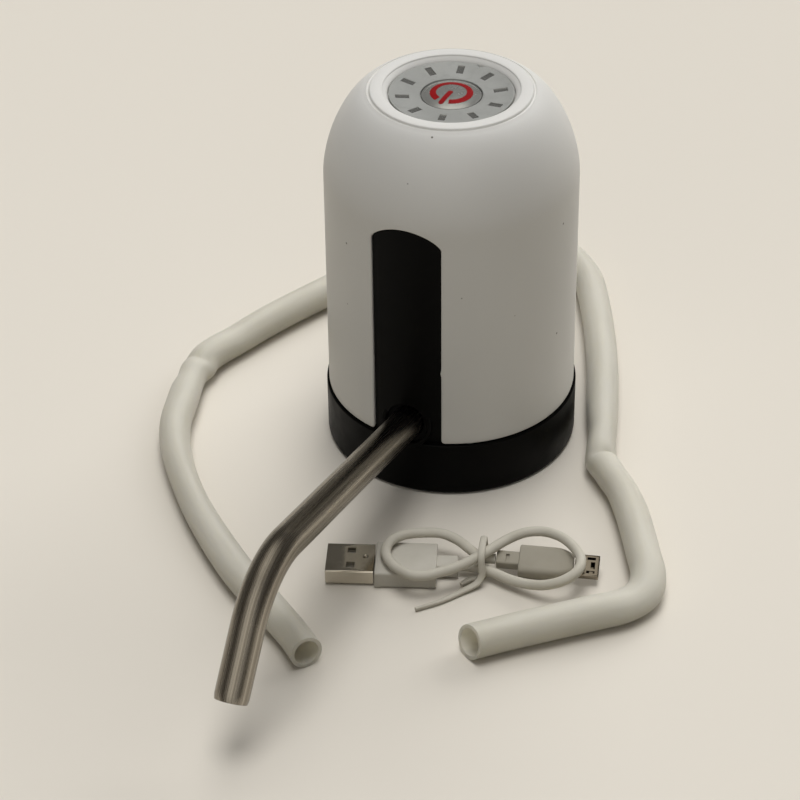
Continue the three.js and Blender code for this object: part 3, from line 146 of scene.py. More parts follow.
def build_room():
    """The world: its panels are laid over each other, and scattered light meets only a faint grey."""
    world = bpy.data.worlds.new("studio")
    world.use_nodes = True
    tree = world.node_tree
    direction = node(tree, "TexCoord", {}).outputs["Generated"]
    colour = room_dim
    for panel in room_panels:
        turn, rise, inner, outer = (math.radians(value) for value in panel)
        middle = (math.cos(rise) * math.cos(turn), math.cos(rise) * math.sin(turn), math.sin(rise))
        towards = node(tree, "VectorMath", {0: direction, 1: middle}, operation="DOT_PRODUCT")
        share = node(tree, "MapRange", {"Value": towards.outputs["Value"], "From Min": math.cos(outer),
                                        "From Max": math.cos(inner)})
        colour = mixed(tree, share.outputs["Result"], colour, panel_pale)
    colour = mixed(tree, seen_directly(tree), room_faint, colour)
    tree.links.new(colour, tree.nodes["Background"].inputs["Color"])
    bpy.context.scene.world = world


lay_floor()
build_room()
for name, (strength, spread, tilt, turn) in lamps.items():
    lamp_data = bpy.data.lights.new(name, "SUN")
    lamp_data.energy = strength
    lamp_data.angle = math.radians(spread)
    lamp = bpy.data.objects.new(name, lamp_data)
    lamp.matrix_world = Matrix.Rotation(math.radians(turn), 4, "Z") @ Matrix.Rotation(math.radians(-tilt), 4, "X")
    lamp.visible_glossy = False
    bpy.context.scene.collection.objects.link(lamp)
bpy.context.scene.view_settings.view_transform = "Standard"

# Suction hose: a free length of milky silicone tube, cut a little aslant at both ends, that lies on the floor
# in one big loop round the pump. A kink has its place, its reach, how much lower and wider the hose is there,
# and how far it is pushed aside. A cut has the lean of the hose's end along X, Y and Z.
hose_radius = 4.75 * MM
hose_wall = 1 * MM
hose_step = 0.9 * MM
hose_sides = 40
hose_route = np.array([
    [0.0041, -0.1147], [-0.0023, -0.1092], [-0.01, -0.1036], [-0.0183, -0.0977], [-0.0275, -0.0908],
    [-0.0458, -0.0741], [-0.055, -0.064], [-0.0633, -0.0532], [-0.0702, -0.042], [-0.0753, -0.031],
    [-0.0786, -0.02], [-0.0792, -0.01], [-0.077, 0.0005], [-0.0693, 0.02], [-0.0646, 0.0305],
    [-0.0515, 0.0575], [-0.0439, 0.0735], [-0.0355, 0.086], [-0.0235, 0.0935], [-0.0095, 0.095],
    [0.004, 0.0903], [0.0146, 0.0804], [0.0219, 0.067], [0.0337, 0.0389], [0.0412, 0.0165],
    [0.0443, 0.005], [0.0476, -0.0056], [0.053, -0.0134], [0.059, -0.02], [0.0645, -0.028],
    [0.0692, -0.0365], [0.0736, -0.045], [0.0773, -0.0525], [0.0783, -0.0596], [0.0752, -0.0662],
    [0.069, -0.0723], [0.0605, -0.0796], [0.0511, -0.0876], [0.0422, -0.0956],
])
hose_kinks = np.array([
    [-0.078, -0.025, 12, 0, 0, 1.8], [-0.079, -0.016, 5, 0.06, -0.12, 0.6],
    [-0.0788, -0.0085, 2.8, 0.14, 0.08, 0.5], [-0.0745, 0.0085, 7, 0.1, 0.06, 0],
    [0.0462, 0.001, 10, 0, -0.15, -1], [0.0497, -0.009, 2.6, 0.16, 0.06, 0.3],
    [0.0565, -0.0175, 9, 0, -0.1, 0], [0.0765, -0.0635, 9, 0.14, 0.08, 0],
    [-0.055, -0.064, 26, -0.04, -0.15, 0], [0, -0.111, 20, 0.05, -0.07, 0],
])
hose_cut_run = 9 * MM
hose_cuts = ((0, 0, 0.08), (-0.16, 0.17, -0.23))
hose_milk = (0.89, 0.85, 0.72)
hose_shade = (0.80, 0.76, 0.63)


def unit(vectors):
    """Each row divided by its own length."""
    return vectors / np.linalg.norm(vectors, axis=1, keepdims=True)


def all_round(count):
    """Even turns round a full circle, in radians."""
    return np.linspace(0, 2 * math.pi, count, endpoint=False)


def run_along(points, power=1):
    """Lengths from the first point to each point, where every step counts by a power of its own length."""
    return np.concatenate([[0], np.cumsum(np.linalg.norm(np.diff(points, axis=0), axis=1) ** power)])


def smooth_route(points, step):
    """A centripetal Catmull-Rom curve through the points, cut into even steps of about the length given. It is
    blended three times: each pair of neighbours by how far the place lies between their two knots."""
    ends = np.vstack([2 * points[:1] - points[1:2], points, 2 * points[-1:] - points[-2:-1]])
    knots = run_along(ends, 0.5)
    spans = np.arange(len(points) - 1)
    share = np.linspace(0, 1, 40, endpoint=False)
    t = (knots[spans + 1, None] + (knots[spans + 2] - knots[spans + 1])[:, None] * share)[..., None]
    knot = [knots[spans + i][:, None, None] for i in range(4)]
    blend = [ends[spans + i][:, None, :] for i in range(4)]
    for first, reach in ((0, 1), (0, 2), (1, 1)):
        low, high = knot[first:], knot[first + reach:]
        blend = [(high[i] - t) / (high[i] - low[i]) * blend[i] + (t - low[i]) / (high[i] - low[i]) * blend[i + 1]
                 for i in range(len(blend) - 1)]
    line = np.vstack([blend[0].reshape(-1, points.shape[1]), points[-1:]])
    lengths = run_along(line)
    even = np.linspace(0, lengths[-1], max(int(lengths[-1] / step), 2))
    return np.stack([np.interp(even, lengths, line[:, i]) for i in range(points.shape[1])], -1), even


def path_frames(line):
    """The side and upward directions at each point of a path that never runs straight up."""
    along = unit(np.gradient(line, axis=0))
    side = unit(np.cross(along, [0, 0, 1]))
    return side, np.cross(side, along)


def swept(line, half_width, half_height, sides):
    """A round or oval section carried along a path: rows follow the path and columns go round the section."""
    side, upward = path_frames(line)
    turn = all_round(sides)[None, :, None]
    wide, high = (np.broadcast_to(half, len(line))[:, None, None] for half in (half_width, half_height))
    return line[:, None] + upward[:, None] * high * np.cos(turn) + side[:, None] * wide * np.sin(turn)


def lay_of(lengths, sides):
    """Where each point of a swept section lies: two numbers round the section, and the length along it."""
    turn = all_round(sides)
    rows = np.ones((len(lengths), 1))
    return np.stack([rows * np.cos(turn), rows * np.sin(turn), lengths[:, None] * np.ones(sides)], -1)


def surface(name, grid, loop_rows=False, caps=False, lay=None, sharp=40):
    """A mesh from a grid of points that closes round its columns, and round its rows too where it is a loop.
    Caps close its first and last row on a middle point. Edges sharper than the angle given stay crisp."""
    rows, columns = grid.shape[:2]
    index = np.arange(rows * columns).reshape(rows, columns)
    lower = index if loop_rows else index[:-1]
    upper = np.roll(index, -1, 0) if loop_rows else index[1:]
    quads = np.stack([lower, np.roll(lower, -1, 1), np.roll(upper, -1, 1), upper], -1).reshape(-1, 4)
    points = grid.reshape(-1, 3)
    faces = quads.tolist()
    if caps:
        points = np.vstack([points, grid[0].mean(0), grid[-1].mean(0)])
        first = np.stack([np.roll(index[0], -1), index[0], np.full(columns, rows * columns)], -1)
        last = np.stack([index[-1], np.roll(index[-1], -1), np.full(columns, rows * columns + 1)], -1)
        faces += first.tolist() + last.tolist()
    mesh = bpy.data.meshes.new(name)
    mesh.from_pydata(points.tolist(), [], faces)
    mesh.shade_smooth()
    mesh.set_sharp_from_angle(angle=math.radians(sharp))
    if lay is not None:
        stored = mesh.attributes.new("lay", "FLOAT_VECTOR", "POINT")
        stored.data.foreach_set("vector", lay.astype(np.float32).ravel())
    piece = bpy.data.objects.new(name, mesh)
    bpy.context.scene.collection.objects.link(piece)
    return piece


def pipe(name, outside, bore, lay):
    """A tube as one closed surface: along its outside, and back along its bore."""
    return surface(name, np.concatenate([outside, bore[::-1]]), loop_rows=True,
                   lay=np.concatenate([lay, lay[::-1]]))


class Finish:
    """A moulded, rubber or metal finish: one Principled shader on the object's own coordinates, or on the lay
    that its mesh stores. Clouds, uneven gloss and grain are added to it in turn."""

    def __init__(self, name, colour, roughness, metallic=0.0, on="Object", **more):
        self.material = bpy.data.materials.new(name)
        self.material.use_nodes = True
        self.tree = self.material.node_tree
        self.shader = self.tree.nodes["Principled BSDF"]
        more.update(Base_Color=(*colour, 1), Roughness=roughness, Metallic=metallic)
        for setting, value in more.items():
            self.shader.inputs[setting.replace("_", " ")].default_value = value
        self.place = self.stored() if on == "lay" else self.node("TexCoord", {}).outputs["Object"]

    def node(self, kind, inputs, **settings):
        return node(self.tree, kind, inputs, **settings)

    def stored(self):
        """The three numbers stored for each point."""
        return self.node("Attribute", {}, attribute_name="lay").outputs["Vector"]

    def first_stored(self):
        """The first of the numbers stored for each point."""
        return self.node("SeparateXYZ", {0: self.stored()}).outputs["X"]

    def stretched(self, scale):
        """The place, scaled by one number or along each axis."""
        scale = (scale,) * 3 if isinstance(scale, (int, float)) else scale
        return self.node("Mapping", {"Vector": self.place, "Scale": scale}).outputs["Vector"]

    def noise(self, scale, detail):
        """Noise from 0 to 1, with so many spots to the metre."""
        return self.node("TexNoise", {"Vector": self.stretched(scale), "Scale": 1.0, "Detail": detail,
                                      "Roughness": 0.55}).outputs["Fac"]

    def band(self, value, low, high, to_low=0.0, to_high=1.0):
        """The value, spread from low and high to the two values given, and held there."""
        return self.node("MapRange", {"Value": value, "From Min": low, "From Max": high, "To Min": to_low,
                                      "To Max": to_high}).outputs["Result"]

    def times(self, first, second):
        return self.node("Math", {0: first, 1: second}, operation="MULTIPLY").outputs[0]

    def specks(self, scale, reach, share):
        """1 on a few small round specks: the cells of a Voronoi pattern whose own number is below the share."""
        cells = self.node("TexVoronoi", {"Vector": self.stretched(scale), "Scale": 1.0}).outputs
        own = self.node("SeparateColor", {0: cells["Color"]}).outputs[0]
        return self.times(self.band(cells["Distance"], reach, reach * 0.5), self.band(own, share, share * 0.9))

    def tint(self, other, share):
        """Turns the colour towards another one by the share given."""
        colour = self.shader.inputs["Base Color"]
        before = colour.links[0].from_socket if colour.is_linked else tuple(colour.default_value)
        self.tree.links.new(mixed(self.tree, share, before, (*other, 1)), colour)
        return self

    def clouds(self, other, scale, low, high, share=1.0, detail=4):
        """Turns the colour towards another one where the noise is high."""
        return self.tint(other, self.band(self.noise(scale, detail), low, high, 0, share))

    def uneven(self, scale, smooth, rough, detail=4, low=0.3):
        """A roughness that wanders between two values."""
        share = self.band(self.noise(scale, detail), low, 0.7, smooth, rough)
        self.tree.links.new(share, self.shader.inputs["Roughness"])
        return self

    def grain(self, scale, depth, detail=2):
        """A bump of noise, so deep in metres."""
        bump = self.node("Bump", {"Strength": 1.0, "Distance": depth, "Height": self.noise(scale, detail)})
        self.tree.links.new(bump.outputs["Normal"], self.shader.inputs["Normal"])
        return self

    def on(self, piece):
        piece.data.materials.clear()
        piece.data.materials.append(self.material)


def dressed(piece, slot, finish, *stands_for, body="housing"):
    """Gives a piece its finish, and lets it ride on its body in place of CAD nodes. The slot given is not used.
    """
    finish.on(piece)
    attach(piece, body)
    if stands_for:
        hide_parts(*stands_for)
    return piece


def cut_aslant(grid, lengths):
    """Leans both end faces of the hose: the rows near an end slide along it by how far each point lies along
    the lean given for that end, in tangents along X, Y and Z."""
    along = unit(np.gradient(grid.mean(1), axis=0))
    out = grid - grid.mean(1, keepdims=True)
    for lean, run in zip(hose_cuts, (lengths, lengths - lengths[-1])):
        near = np.clip(1 - np.abs(run) / hose_cut_run, 0, 1) ** 2
        grid = grid + along[:, None] * (out @ np.array(lean) * near[:, None])[..., None]
    return grid


def suction_hose():
    """A tube with a bore along the route, resting on the floor. Each kink changes its height, width and place
    by a bell curve of the distance from it."""
    line, lengths = smooth_route(hose_route + [0, axis_y], hose_step)
    away = np.linalg.norm(line[:, None] - (hose_kinks[:, :2] + [0, axis_y]), axis=2)
    bell = np.exp(-(away / (hose_kinks[:, 2] * MM)) ** 2)
    high = hose_radius * (1 - (hose_kinks[:, 3] * bell).sum(1))
    wide = hose_radius * (1 + (hose_kinks[:, 4] * bell).sum(1))
    middle = np.column_stack([line, high])
    middle += path_frames(middle)[0] * (hose_kinks[:, 5] * MM * bell).sum(1)[:, None]
    outside, bore = (cut_aslant(swept(middle, wide - wall, high - wall, hose_sides), lengths)
                     for wall in (0, hose_wall))
    return pipe("hose_tube", outside, bore, lay_of(lengths, hose_sides)), middle, lengths[-1]


hose_finish = Finish("milky_silicone", hose_milk, 0.34, on="lay", Transmission_Weight=0.3, IOR=1.41,
                     Subsurface_Weight=0.35, Subsurface_Radius=(0.005, 0.005, 0.004), Subsurface_Scale=1.0)
hose_finish.clouds(hose_shade, (1.2, 1.2, 30), 0.35, 0.75)
hose_finish.uneven((3, 3, 260), 0.28, 0.44).grain((5, 5, 420), 0.03 * MM, detail=4)

hose, hose_middle, hose_length = suction_hose()
dressed(hose, "hose_silicone", hose_finish, "suction_hose")

# Charging lead: a short round cable in soft grey-white vinyl, laid in a figure of eight over its own plugs.
# Both plugs are vinyl moulded over a nickel-plated shell. The large one lies flat, and the small one is tipped
# on its front edge. A plug's place is its tip's X and Y, its turn, its middle's height, and its roll.
lead_radius = 1.4 * MM
lead_step = 0.5 * MM
lead_sides = 24
plug_gap = 0.3 * MM
usb_place = (-6.5, -77.3, 19, 2.65, 0)
usb_shell_size = np.array([13.1, 12, 4.5]) * MM
usb_mould_size = np.array([16.8, 14, 5.3]) * MM
usb_stub_size = np.array([5.8, 5.2, 4]) * MM
usb_windows = [(6.75, 3.1, 2.3, 2.4), (6.75, -3.1, 2.3, 2.4)]
usb_dimple = (10.7, 0.5, 0.85)
usb_tongue = np.array([11.5, 11, 1.9, -0.5]) * MM
micro_place = (63.8, -53.6, 193.5, 3.794, -20)
micro_shell_size = np.array([6.6, 6.9, 1.9]) * MM
micro_mould_size = np.array([14.9, 9, 4.8]) * MM
micro_stub_size = np.array([6.2, 4.2, 3.4]) * MM
micro_nose = 5.5 * MM
micro_pinch = (0.62, 0.5)
micro_corner = 1.6 * MM
micro_slots = [(2.2, 2.1, 2.3, 0.8), (2.2, -2.1, 2.3, 0.8), (1.7, 0, 1.2, 2.2)]
micro_slot_depth = 1
mould_round = 0.4 * MM
usb_collar = (1.9 * MM, 2.2 * MM)
usb_corner = 0.7 * MM
stub_overlap = 1 * MM
stub_corner = 0.6 * MM
usb_stub_round = 0.5 * MM
window_depth = 1.6
stub_slot_size = np.array([1, 2.3, 1.4]) * MM
stub_slot_aside = 0.2 * MM
sheet_metal = 0.35 * MM
lead_route = np.array([
    [33.8, -64.5, 2.8], [37.5, -64.8, 2.8], [42.5, -65.9, 2.8], [48, -66.8, 3.6], [53.1, -67.2, 5.2],
    [57.6, -65.8, 7], [60.4, -62.6, 8.5], [60, -58.1, 8.9], [56.4, -53.6, 8.9], [51.4, -50.3, 8.6],
    [46.1, -49.5, 8.2], [41.6, -51.2, 7.8], [38.2, -54.9, 7.4], [36, -59.2, 7.4], [34.1, -63.2, 7.4],
    [31.7, -67.4, 7.3], [29.1, -71, 7.1], [26, -74.2, 7], [23.2, -76.9, 7.1], [19.4, -78.4, 7.1],
    [15.1, -77.6, 7.1], [11.1, -75.1, 7.1], [8.6, -71.4, 7.1], [8.4, -67.1, 7.1], [11, -63.2, 7.1],
    [15.2, -60.7, 7.1], [20, -58.9, 6.9], [24.7, -59.1, 6.2], [28.2, -59.9, 5], [31, -60.6, 4],
]) * MM
vinyl = (0.60, 0.57, 0.50)
vinyl_dull = (0.47, 0.44, 0.37)
# The small plug's vinyl: the same vinyl's colours, darkened with painted shade.
vinyl_painted_shade = (0.38, 0.35, 0.285)
vinyl_dull_painted_shade = (0.30, 0.27, 0.21)
cable_white = (0.61, 0.575, 0.49)
cable_grey = (0.51, 0.475, 0.39)
nickel_plate = (0.62, 0.58, 0.50)
nickel_dark = (0.40, 0.36, 0.29)
# The small plug's tip: the nickel's colours, darkened with painted shade.
tip_plate_painted_shade = (0.24, 0.21, 0.165)
tip_dark_painted_shade = (0.13, 0.11, 0.08)


def lofted(stations, size, rounding, count=8):
    """Rows of round-cornered rectangles along X. A station is a place on X with how much narrower and lower
    than the size its section is there."""
    along, narrower, lower = (np.array(v, float)[:, None, None] for v in zip(*stations))
    turn = np.arange(4)[:, None] * math.pi / 2 + np.linspace(0, math.pi / 2, count)
    half_width = (size[1] - narrower) / 2
    half_height = (size[2] - lower) / 2
    corner = np.minimum(rounding, np.minimum(half_width, half_height) * 0.98)
    y = np.array([1, -1, -1, 1])[:, None] * (half_width - corner) + corner * np.cos(turn)
    z = np.array([1, 1, -1, -1])[:, None] * (half_height - corner) + corner * np.sin(turn)
    grid = np.stack(np.broadcast_arrays(along, y, z), -1)
    return grid.reshape(len(stations), 4 * count, 3)


def eased_end(place, rounding, inwards, steps=5):
    """Stations that round off an end: from the flat end, they widen along a quarter circle."""
    turn = np.linspace(0, math.pi / 2, steps)
    run = place + inwards * rounding * (1 - np.cos(turn))
    drop = 2 * rounding * (1 - np.sin(turn))
    rows = np.stack([run, drop, drop], -1)
    return rows if inwards > 0 else rows[::-1]


def turned(x, y, turn):
    """Coordinates turned from X towards Y: each new one mixes both by the turn's cosine and sine."""
    return x * math.cos(turn) - y * math.sin(turn), x * math.sin(turn) + y * math.cos(turn)


def moved(grid, place):
    """Takes points from a plug's own frame, with its tip at the origin and its lead towards +X, to where it
    lies: rolled about that line, turned about the upright, and moved."""
    side, upward = turned(grid[..., 1], grid[..., 2], math.radians(place[4]))
    x, y = turned(grid[..., 0], side, math.radians(place[2]))
    return np.stack([x + place[0] * MM, y + place[1] * MM + axis_y, upward + place[3] * MM], -1)


def laid(name, grid, place):
    """A closed piece from rows in a plug's own frame, where the plug lies."""
    return surface(name, moved(grid, place), caps=True)


def cut(piece, *cutters):
    """Takes closed cutters out of a piece, and deletes them."""
    for cutter in cutters:
        modifier = piece.modifiers.new("cut", "BOOLEAN")
        modifier.operation = "DIFFERENCE"
        modifier.solver = "EXACT"
        modifier.object = cutter
    bpy.context.view_layer.update()
    bare = bpy.data.meshes.new_from_object(piece.evaluated_get(bpy.context.evaluated_depsgraph_get()))
    piece.modifiers.clear()
    old, piece.data = piece.data, bare
    bpy.data.meshes.remove(old)
    for cutter in cutters:
        bpy.data.objects.remove(cutter)
    piece.data.shade_smooth()
    piece.data.set_sharp_from_angle(angle=math.radians(35))
    return piece


def joined(name, *pieces):
    """One object from several, with their meshes side by side."""
    with bpy.context.temp_override(active_object=pieces[0], selected_editable_objects=list(pieces)):
        bpy.ops.object.join()
    pieces[0].name = name
    return pieces[0]


def eased_block(middle, size, rounding, corner):
    """Rows of a round-edged block with its middle at a place on X."""
    first, last = middle - size[0] / 2, middle + size[0] / 2
    return lofted([*eased_end(first, rounding, 1), *eased_end(last, rounding, -1)], size, corner, 4)


def slab(name, size, middle, place, rounding=0.1 * MM):
    """A closed round-edged block round a middle, in a plug's frame."""
    return laid(name, eased_block(middle[0], size, rounding, rounding) + [0, middle[1], middle[2]], place)


def plug_sleeve(name, size, place, wall):
    """A thin metal sleeve, open at its mouth: out along its inside to the lip, and back along its outside."""
    length, lip = size[0], wall / 2
    inside = lofted([(length - wall, 2 * wall, 2 * wall), (lip, 2 * wall, 2 * wall)], size, wall)
    mouth = lofted([(0, wall * 1.5, wall * 1.5), (0, wall * 0.5, wall * 0.5)], size, wall)
    outside = lofted([(lip, 0, 0), (length, 0, 0)], size, wall * 1.4)
    return laid(name, np.concatenate([inside, mouth, outside]), place)


def dimple(place, level, spot):
    """A shallow bowl of a cutter for the round clinch mark on the sleeve's upper face."""
    x, y, radius = (value * MM for value in spot)
    tilt = np.linspace(-math.pi / 2, math.pi / 2, 10)[:, None]
    turn = all_round(24)
    grid = np.stack(np.broadcast_arrays(
        x + radius * np.cos(tilt) * np.cos(turn), y + radius * np.cos(tilt) * np.sin(turn),
        level + radius * 0.35 * np.sin(tilt)), -1)
    return laid("dimple", grid, place)


def slots(places, top, place, depth):
    """Cutters through a sleeve's upper face. Each has its place on it, its length and its width."""
    return [slab(f"slot_{i}", np.array([long, wide, depth]) * MM, (x * MM, y * MM, top), place)
            for i, (x, y, long, wide) in enumerate(places)]


def stub_rows(end, size, rounding, corner):
    """Rows of the short square stub behind a plug's grip, rooted in it."""
    return lofted([(end - stub_overlap, 0, 0), *eased_end(end + size[0], rounding, -1)], size, corner)


usb_sleeve = plug_sleeve("usb_a_sleeve", usb_shell_size, usb_place, sheet_metal)
cut(usb_sleeve, *slots(usb_windows, usb_shell_size[2] / 2, usb_place, window_depth),
    dimple(usb_place, usb_shell_size[2] / 2, usb_dimple))


def plating(name, pale, dark):
    """Bright nickel with faint darker clouds and a trace of ripple."""
    finish = Finish(name, pale, 0.15, 1.0).clouds(dark, 120, 0.4, 0.8, 0.5, detail=3)
    return finish.uneven(900, 0.12, 0.2, detail=3, low=0.35).grain(300, 0.002 * MM)


nickel_finish = plating("nickel_plating", nickel_plate, nickel_dark)
dressed(usb_sleeve, "nickel", nickel_finish, "usb_a_shell")


def usb_mould():
    """The large plug's grip: a round-edged block with a low collar at the sleeve and a square stub behind, and
    the tongue inside the sleeve that shows in its windows."""
    start = usb_shell_size[0] + plug_gap
    end = start + usb_mould_size[0]
    collar = [(start + usb_collar[0], 0, 0), (start + usb_collar[1], plug_gap, plug_gap)]
    rear = eased_end(end, mould_round, -1) + [0, plug_gap, plug_gap]
    block = lofted([*eased_end(start, mould_round, 1), *collar, *rear], usb_mould_size, usb_corner, 10)
    return joined("usb_a_grip", laid("grip", block, usb_place),
                  laid("stub", stub_rows(end, usb_stub_size, usb_stub_round, usb_corner), usb_place),
                  slab("tongue", usb_tongue[:3], (usb_tongue[0] / 2 + stub_overlap, 0, usb_tongue[3]), usb_place))


def soft_vinyl(name, pale, dull):
    """Matt vinyl with faint grey clouds."""
    finish = Finish(name, pale, 0.42, Subsurface_Weight=0.12, Subsurface_Radius=(0.002, 0.0018, 0.0014))
    finish.clouds(dull, 90, 0.45, 0.75, 0.5, detail=3)
    return finish.uneven(500, 0.36, 0.5, detail=3).grain(2600, 0.006 * MM)


usb_vinyl = soft_vinyl("soft_vinyl", vinyl, vinyl_dull)
usb_grip = dressed(usb_mould(), "lead_pvc", usb_vinyl, "usb_a_overmould")

micro_sleeve = plug_sleeve("micro_sleeve", micro_shell_size, micro_place, sheet_metal)
cut(micro_sleeve, *slots(micro_slots, micro_shell_size[2] / 2, micro_place, micro_slot_depth))
# The small plug's sleeve is plated in the darkened nickel colours: painted shade.
dressed(micro_sleeve, "nickel", plating("tip_plating_painted_shade", tip_plate_painted_shade, tip_dark_painted_shade), "micro_shell")


def micro_mould():
    """The small plug's grip: an oval nose that narrows to the metal tip, a square back, and a slotted stub."""
    start = micro_shell_size[0] + plug_gap
    end = start + micro_mould_size[0]
    turn = np.linspace(0.22, 1, 12) * math.pi / 2
    pinch = (1 - np.sin(turn))[:, None] * micro_mould_size[1:] * micro_pinch
    nose = np.column_stack([start + micro_nose * (1 - np.cos(turn)), pinch])
    nose[:, 0] -= nose[0, 0] - start
    block = lofted([*nose, *eased_end(end, mould_round, -1)], micro_mould_size, micro_corner, 10)
    stub = laid("stub", stub_rows(end, micro_stub_size, mould_round, stub_corner), micro_place)
    slot_middle = (end + micro_stub_size[0] * 0.5, stub_slot_aside, micro_stub_size[2] / 2)
    cut(stub, slab("stub_slot", stub_slot_size, slot_middle, micro_place))
    return joined("micro_grip", laid("grip", block, micro_place), stub)


# The small plug's grip gets the darker vinyl colours: painted shade, not a vinyl of its own.
micro_vinyl = soft_vinyl("painted_shade_vinyl", vinyl_painted_shade, vinyl_dull_painted_shade)
micro_grip = dressed(micro_mould(), "lead_pvc", micro_vinyl, "micro_overmould")


def lead_line():
    """The route with its straight ends: out of the large plug's stub, and into the small plug's."""
    ends = []
    for place, sizes in ((usb_place, (usb_shell_size, usb_mould_size, usb_stub_size)),
                         (micro_place, (micro_shell_size, micro_mould_size, micro_stub_size))):
        reach = sum(size[0] for size in sizes) + 2 * plug_gap
        ends.append(moved(np.array([[reach, 0, 0], [reach + 2 * lead_radius, 0, 0]]), place))
    return np.concatenate([ends[0], lead_route + [0, axis_y, 0], ends[1][::-1]])


lead_middle, lead_lengths = smooth_route(lead_line(), lead_step)
lead = surface("charging_lead", swept(lead_middle, lead_radius, lead_radius, lead_sides), caps=True)
cable_finish = Finish("cable_vinyl", cable_white, 0.4).clouds(cable_grey, 130, 0.4, 0.75, 0.6, detail=3)
cable_finish.uneven(600, 0.34, 0.48, detail=3).grain(2600, 0.006 * MM)
dressed(lead, "lead_pvc", cable_finish, "usb_cable")

# Tie: one soft strip with a flattened round section, wound once round the crossing of the lead, with both its
# ends left over in front: a long one that lies on the floor and thins out, and a short one beside it.
tie_half_width = 0.95 * MM
tie_half_thickness = 0.62 * MM
tie_route = np.array([
    [22.4, -84.3, 0.7], [27.6, -78.6, 0.7], [31.4, -73, 0.8], [34.4, -69.2, 1.7], [35.2, -67.9, 3.6],
    [34.9, -67.3, 6.2], [34.4, -66.4, 8.6], [33.8, -64.2, 9.5], [33, -61.2, 9.5], [32.2, -58.4, 8.6],
    [31.9, -57, 6], [32.1, -57, 3], [32.9, -58.6, 0.9], [34, -62, 0.7], [34.4, -64.6, 0.7], [33.2, -66.6, 1.2],
    [31.6, -68.6, 1.4], [30.2, -70.6, 1],
]) * MM
tie_turns = [-40, -40, -30, -5, 10, 15, 17, 17, 17, 17, 17, 17, 17, 17, 5, -20, -35, -40]
tie_taper = 16 * MM
tie_end_taper = 5 * MM
tie_step = 0.4 * MM


def strip_along(line, across, half_width, half_thickness, count=6):
    """A strip with round edges along a path, its width along the directions given."""
    along = unit(np.gradient(line, axis=0))
    across = unit(across - along * (across * along).sum(1, keepdims=True))
    face = np.cross(across, along)
    turn = all_round(4 * count)
    wide = np.broadcast_to(half_width, len(line))[:, None, None] * np.cos(turn)[None, :, None]
    thick = half_thickness * (np.abs(np.sin(turn)) ** 0.7 * np.sign(np.sin(turn)))[None, :, None]
    return line[:, None] + across[:, None] * wide + face[:, None] * thick


tie_middle, tie_lengths = smooth_route(tie_route + [0, axis_y, 0], tie_step)
tie_chords = run_along(tie_route)
tie_facing = np.radians(np.interp(tie_lengths / tie_lengths[-1], tie_chords / tie_chords[-1], tie_turns))
tie_across = np.stack([np.cos(tie_facing), np.sin(tie_facing), np.zeros(len(tie_facing))], -1)
tie_end = tie_lengths[-1]
tie_widths = tie_half_width * np.interp(tie_lengths, [0, tie_taper, tie_end - tie_end_taper, tie_end],
                                        [0.5, 1, 1, 0.6])
tie = surface("lead_tie", strip_along(tie_middle, tie_across, tie_widths, tie_half_thickness), caps=True)
dressed(tie, "lead_pvc", cable_finish, "cable_tie")

# Outer shell: one moulding of off-white ABS, pushed over the base from above and held by three screws
# through the deck. Its front is open in an arched slot, and its crown ends in a flat rim with a groove round it.
# Behind, a small recess shows the charging socket.
shell_foot_radius = 35.62 * MM
shell_shoulder_radius = 35.38 * MM
shell_foot = 17.4 * MM
shell_shoulder = 86.1 * MM
shell_crown = 111.2 * MM
shell_wall = 2.2 * MM
dome_exponent = 1.63
rim_radius = 22.3 * MM
rim_step = 0.45 * MM
rim_inner_radius = 18.7 * MM
rim_round = 0.4 * MM
groove_width = 0.8 * MM
groove_depth = 0.34 * MM
groove_shape = ((0.8, 0.75), (0.5, 1), (0.2, 0.75))
well_radius = 17.4 * MM
well_drop = 1.7 * MM
well_floor = 108.5 * MM
ledge_radius = 15.2 * MM
ledge_underside = 106.9 * MM
slot_half_width = 10.2 * MM
slot_shoulder = 81.8 * MM
slot_crown = 86.2 * MM
slot_corner = 1.6 * MM
foot_flare = 1 * MM
burr_level = 41.4 * MM
burr_reach = (0.26 * MM, 0.7 * MM)
edge_round = 0.45 * MM
fan_level = 91.5 * MM
fan_turns = np.radians([24, 60])
port_level = 31.25 * MM
port_hole = (8.2 * MM, 3.3 * MM)
port_recess = (10.6 * MM, 5.7 * MM)
port_recess_depth = 0.9 * MM
port_corners = (0.8 * MM, 1.4 * MM)
post_circle = 32.125 * MM
post_radii = (1.5 * MM, 2.7 * MM)
post_turns = (60, 180, 300)
post_levels = (13.1 * MM, 26 * MM)
shell_white = (0.775, 0.762, 0.725)
shell_grey = (0.71, 0.695, 0.66)
speck_brown = (0.10, 0.08, 0.06)


def arch_top(x, inset=0.0):
    """The height of the slot's arched outline at a distance from its middle: an arc with two round corners."""
    half = slot_half_width - inset
    rise = slot_crown - slot_shoulder
    radius = (slot_half_width ** 2 + rise ** 2) / (2 * rise) - inset
    centre = slot_crown - inset - radius
    side_top = centre + math.sqrt(radius ** 2 - half ** 2) - slot_corner / 2
    inner = half - slot_corner
    share = np.sqrt(np.clip(half - np.abs(x), 0, slot_corner) / slot_corner)
    arc = centre + np.sqrt(radius ** 2 - np.minimum(np.abs(x), inner) ** 2)
    meet = centre + math.sqrt(radius ** 2 - inner ** 2)
    corner = (side_top * (1 - share) ** 2 + 2 * (side_top + slot_corner / 2) * share * (1 - share)
              + meet * share ** 2)
    return np.where(np.abs(x) > inner, corner, arc)


